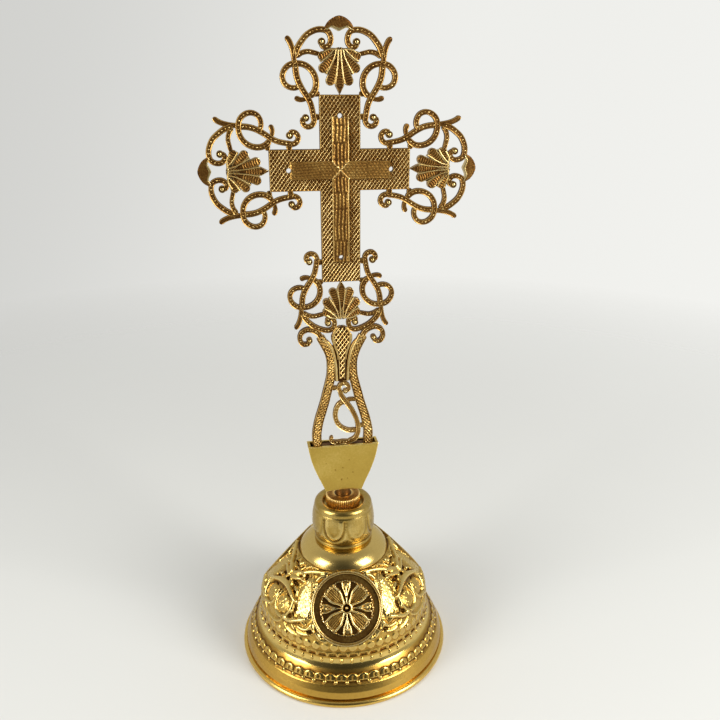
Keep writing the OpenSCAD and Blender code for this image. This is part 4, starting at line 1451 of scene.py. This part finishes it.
def make_floor():
    """Pale floor that fades into the background far from the object."""
    mesh = bpy.data.meshes.new("floor")
    ring = [(FLOOR_R * math.cos(t), FLOOR_R * math.sin(t), 0) for t in around(96)]
    mesh.from_pydata(ring, [], [list(range(len(ring)))])
    made = bpy.data.materials.new("pale_floor")
    tree = empty_tree(made)
    out = tree.nodes.new("ShaderNodeOutputMaterial")
    shader = node(tree, "ShaderNodeBsdfPrincipled", Roughness=0.6)
    where = tree.nodes.new("ShaderNodeTexCoord").outputs["Object"]
    tint = tree.nodes.new("ShaderNodeValToRGB")
    fill_ramp(tint, [(0.0, (0.73, 0.735, 0.71)), (1.0, (0.77, 0.775, 0.75))])
    tree.links.new(noise(tree, where, 3.0), tint.inputs["Fac"])
    tree.links.new(tint.outputs["Color"], shader.inputs["Base Color"])
    far = tree.nodes.new("ShaderNodeVectorMath")
    far.operation = "LENGTH"
    tree.links.new(where, far.inputs[0])
    clear = tree.nodes.new("ShaderNodeBsdfTransparent")
    fade = mapped(tree, far.outputs["Value"], *FADE, 0.0, 1.0)
    shown = mixed(tree, fade, shader.outputs[0], clear.outputs[0])
    tree.links.new(shown, out.inputs["Surface"])
    mesh.materials.append(made)
    add_object("floor", mesh)


def make_light(name, place, power):
    """Soft box aimed at the middle of the object."""
    data = bpy.data.lights.new(name, "AREA")
    data.shape = "RECTANGLE"
    data.size, data.size_y = SOFT_BOX
    data.energy = power
    data.color = WARM_WHITE
    obj = add_object(name, data)
    obj.location = place
    to = [t - p for t, p in zip(AIM, place)]
    flat = math.hypot(to[0], to[1])
    obj.rotation_euler = (math.atan2(flat, -to[2]), 0, math.atan2(to[1], to[0]) - math.pi / 2)
    obj.visible_camera = False


def world_tone(tree, where, axis, stops):
    """Grey tones of the studio by direction: a ramp over the dot product with an axis."""
    dot = tree.nodes.new("ShaderNodeVectorMath")
    dot.operation = "DOT_PRODUCT"
    tree.links.new(where, dot.inputs[0])
    dot.inputs[1].default_value = axis
    ramp = tree.nodes.new("ShaderNodeValToRGB")
    ramp.color_ramp.interpolation = "EASE"
    fill_ramp(ramp, [(place, (tone, tone, tone * BLUE_SHARE)) for place, tone in stops])
    tree.links.new(mapped(tree, dot.outputs["Value"], -1, 1, 0, 1), ramp.inputs["Fac"])
    return ramp.outputs["Color"]


def make_world():
    """Pale studio all round, darker where the viewer's side of the room is."""
    world = bpy.data.worlds.new("studio")
    bpy.context.scene.world = world
    tree = empty_tree(world)
    out = tree.nodes.new("ShaderNodeOutputWorld")
    seen = node(tree, "ShaderNodeBackground", Strength=1.0)
    lit = node(tree, "ShaderNodeBackground", Strength=1.0)
    where = tree.nodes.new("ShaderNodeTexCoord").outputs["Generated"]
    backdrop = world_tone(tree, where, (0.9, -0.3, -0.3), [(0.2, 0.64), (0.5, 0.86), (0.75, 0.9)])
    tree.links.new(backdrop, seen.inputs["Color"])
    room = world_tone(tree, where, (-0.1, -0.88, 0.46),
                      [(0.4, 0.6), (0.78, 0.42), (0.92, 0.1), (1.0, 0.05)])
    tree.links.new(room, lit.inputs["Color"])
    path = tree.nodes.new("ShaderNodeLightPath")
    shown = mixed(tree, path.outputs["Is Camera Ray"], lit.outputs[0], seen.outputs[0])
    tree.links.new(shown, out.inputs["Surface"])


def make_camera():
    """Camera in front of the cross, a little to its left and looking down."""
    data = bpy.data.cameras.new("camera")
    data.sensor_width = 36.0
    data.lens = 36.36
    data.clip_start = 0.01
    obj = add_object("camera", data)
    obj.location = (-0.0408, -0.2936, 0.2581)
    obj.rotation_euler = (math.radians(69.29), math.radians(-0.04), math.radians(-9.43))
    bpy.context.scene.camera = obj


make_finials()
make_shells()
make_crests()
make_plate()
make_narrow_crosses()
make_rails()
make_cone()
make_vine()
make_pocket()
make_disc()
make_collar()
make_foot()
make_dome()
make_shoulder()
make_medallions()
finish_cad_nodes()
make_floor()
make_light("soft_left", (-0.73, -0.33, 0.46), 5.6)
make_light("soft_right", (0.61, -0.51, 0.5), 7.4)
make_world()
make_camera()
bpy.context.scene.view_settings.view_transform = "Standard"
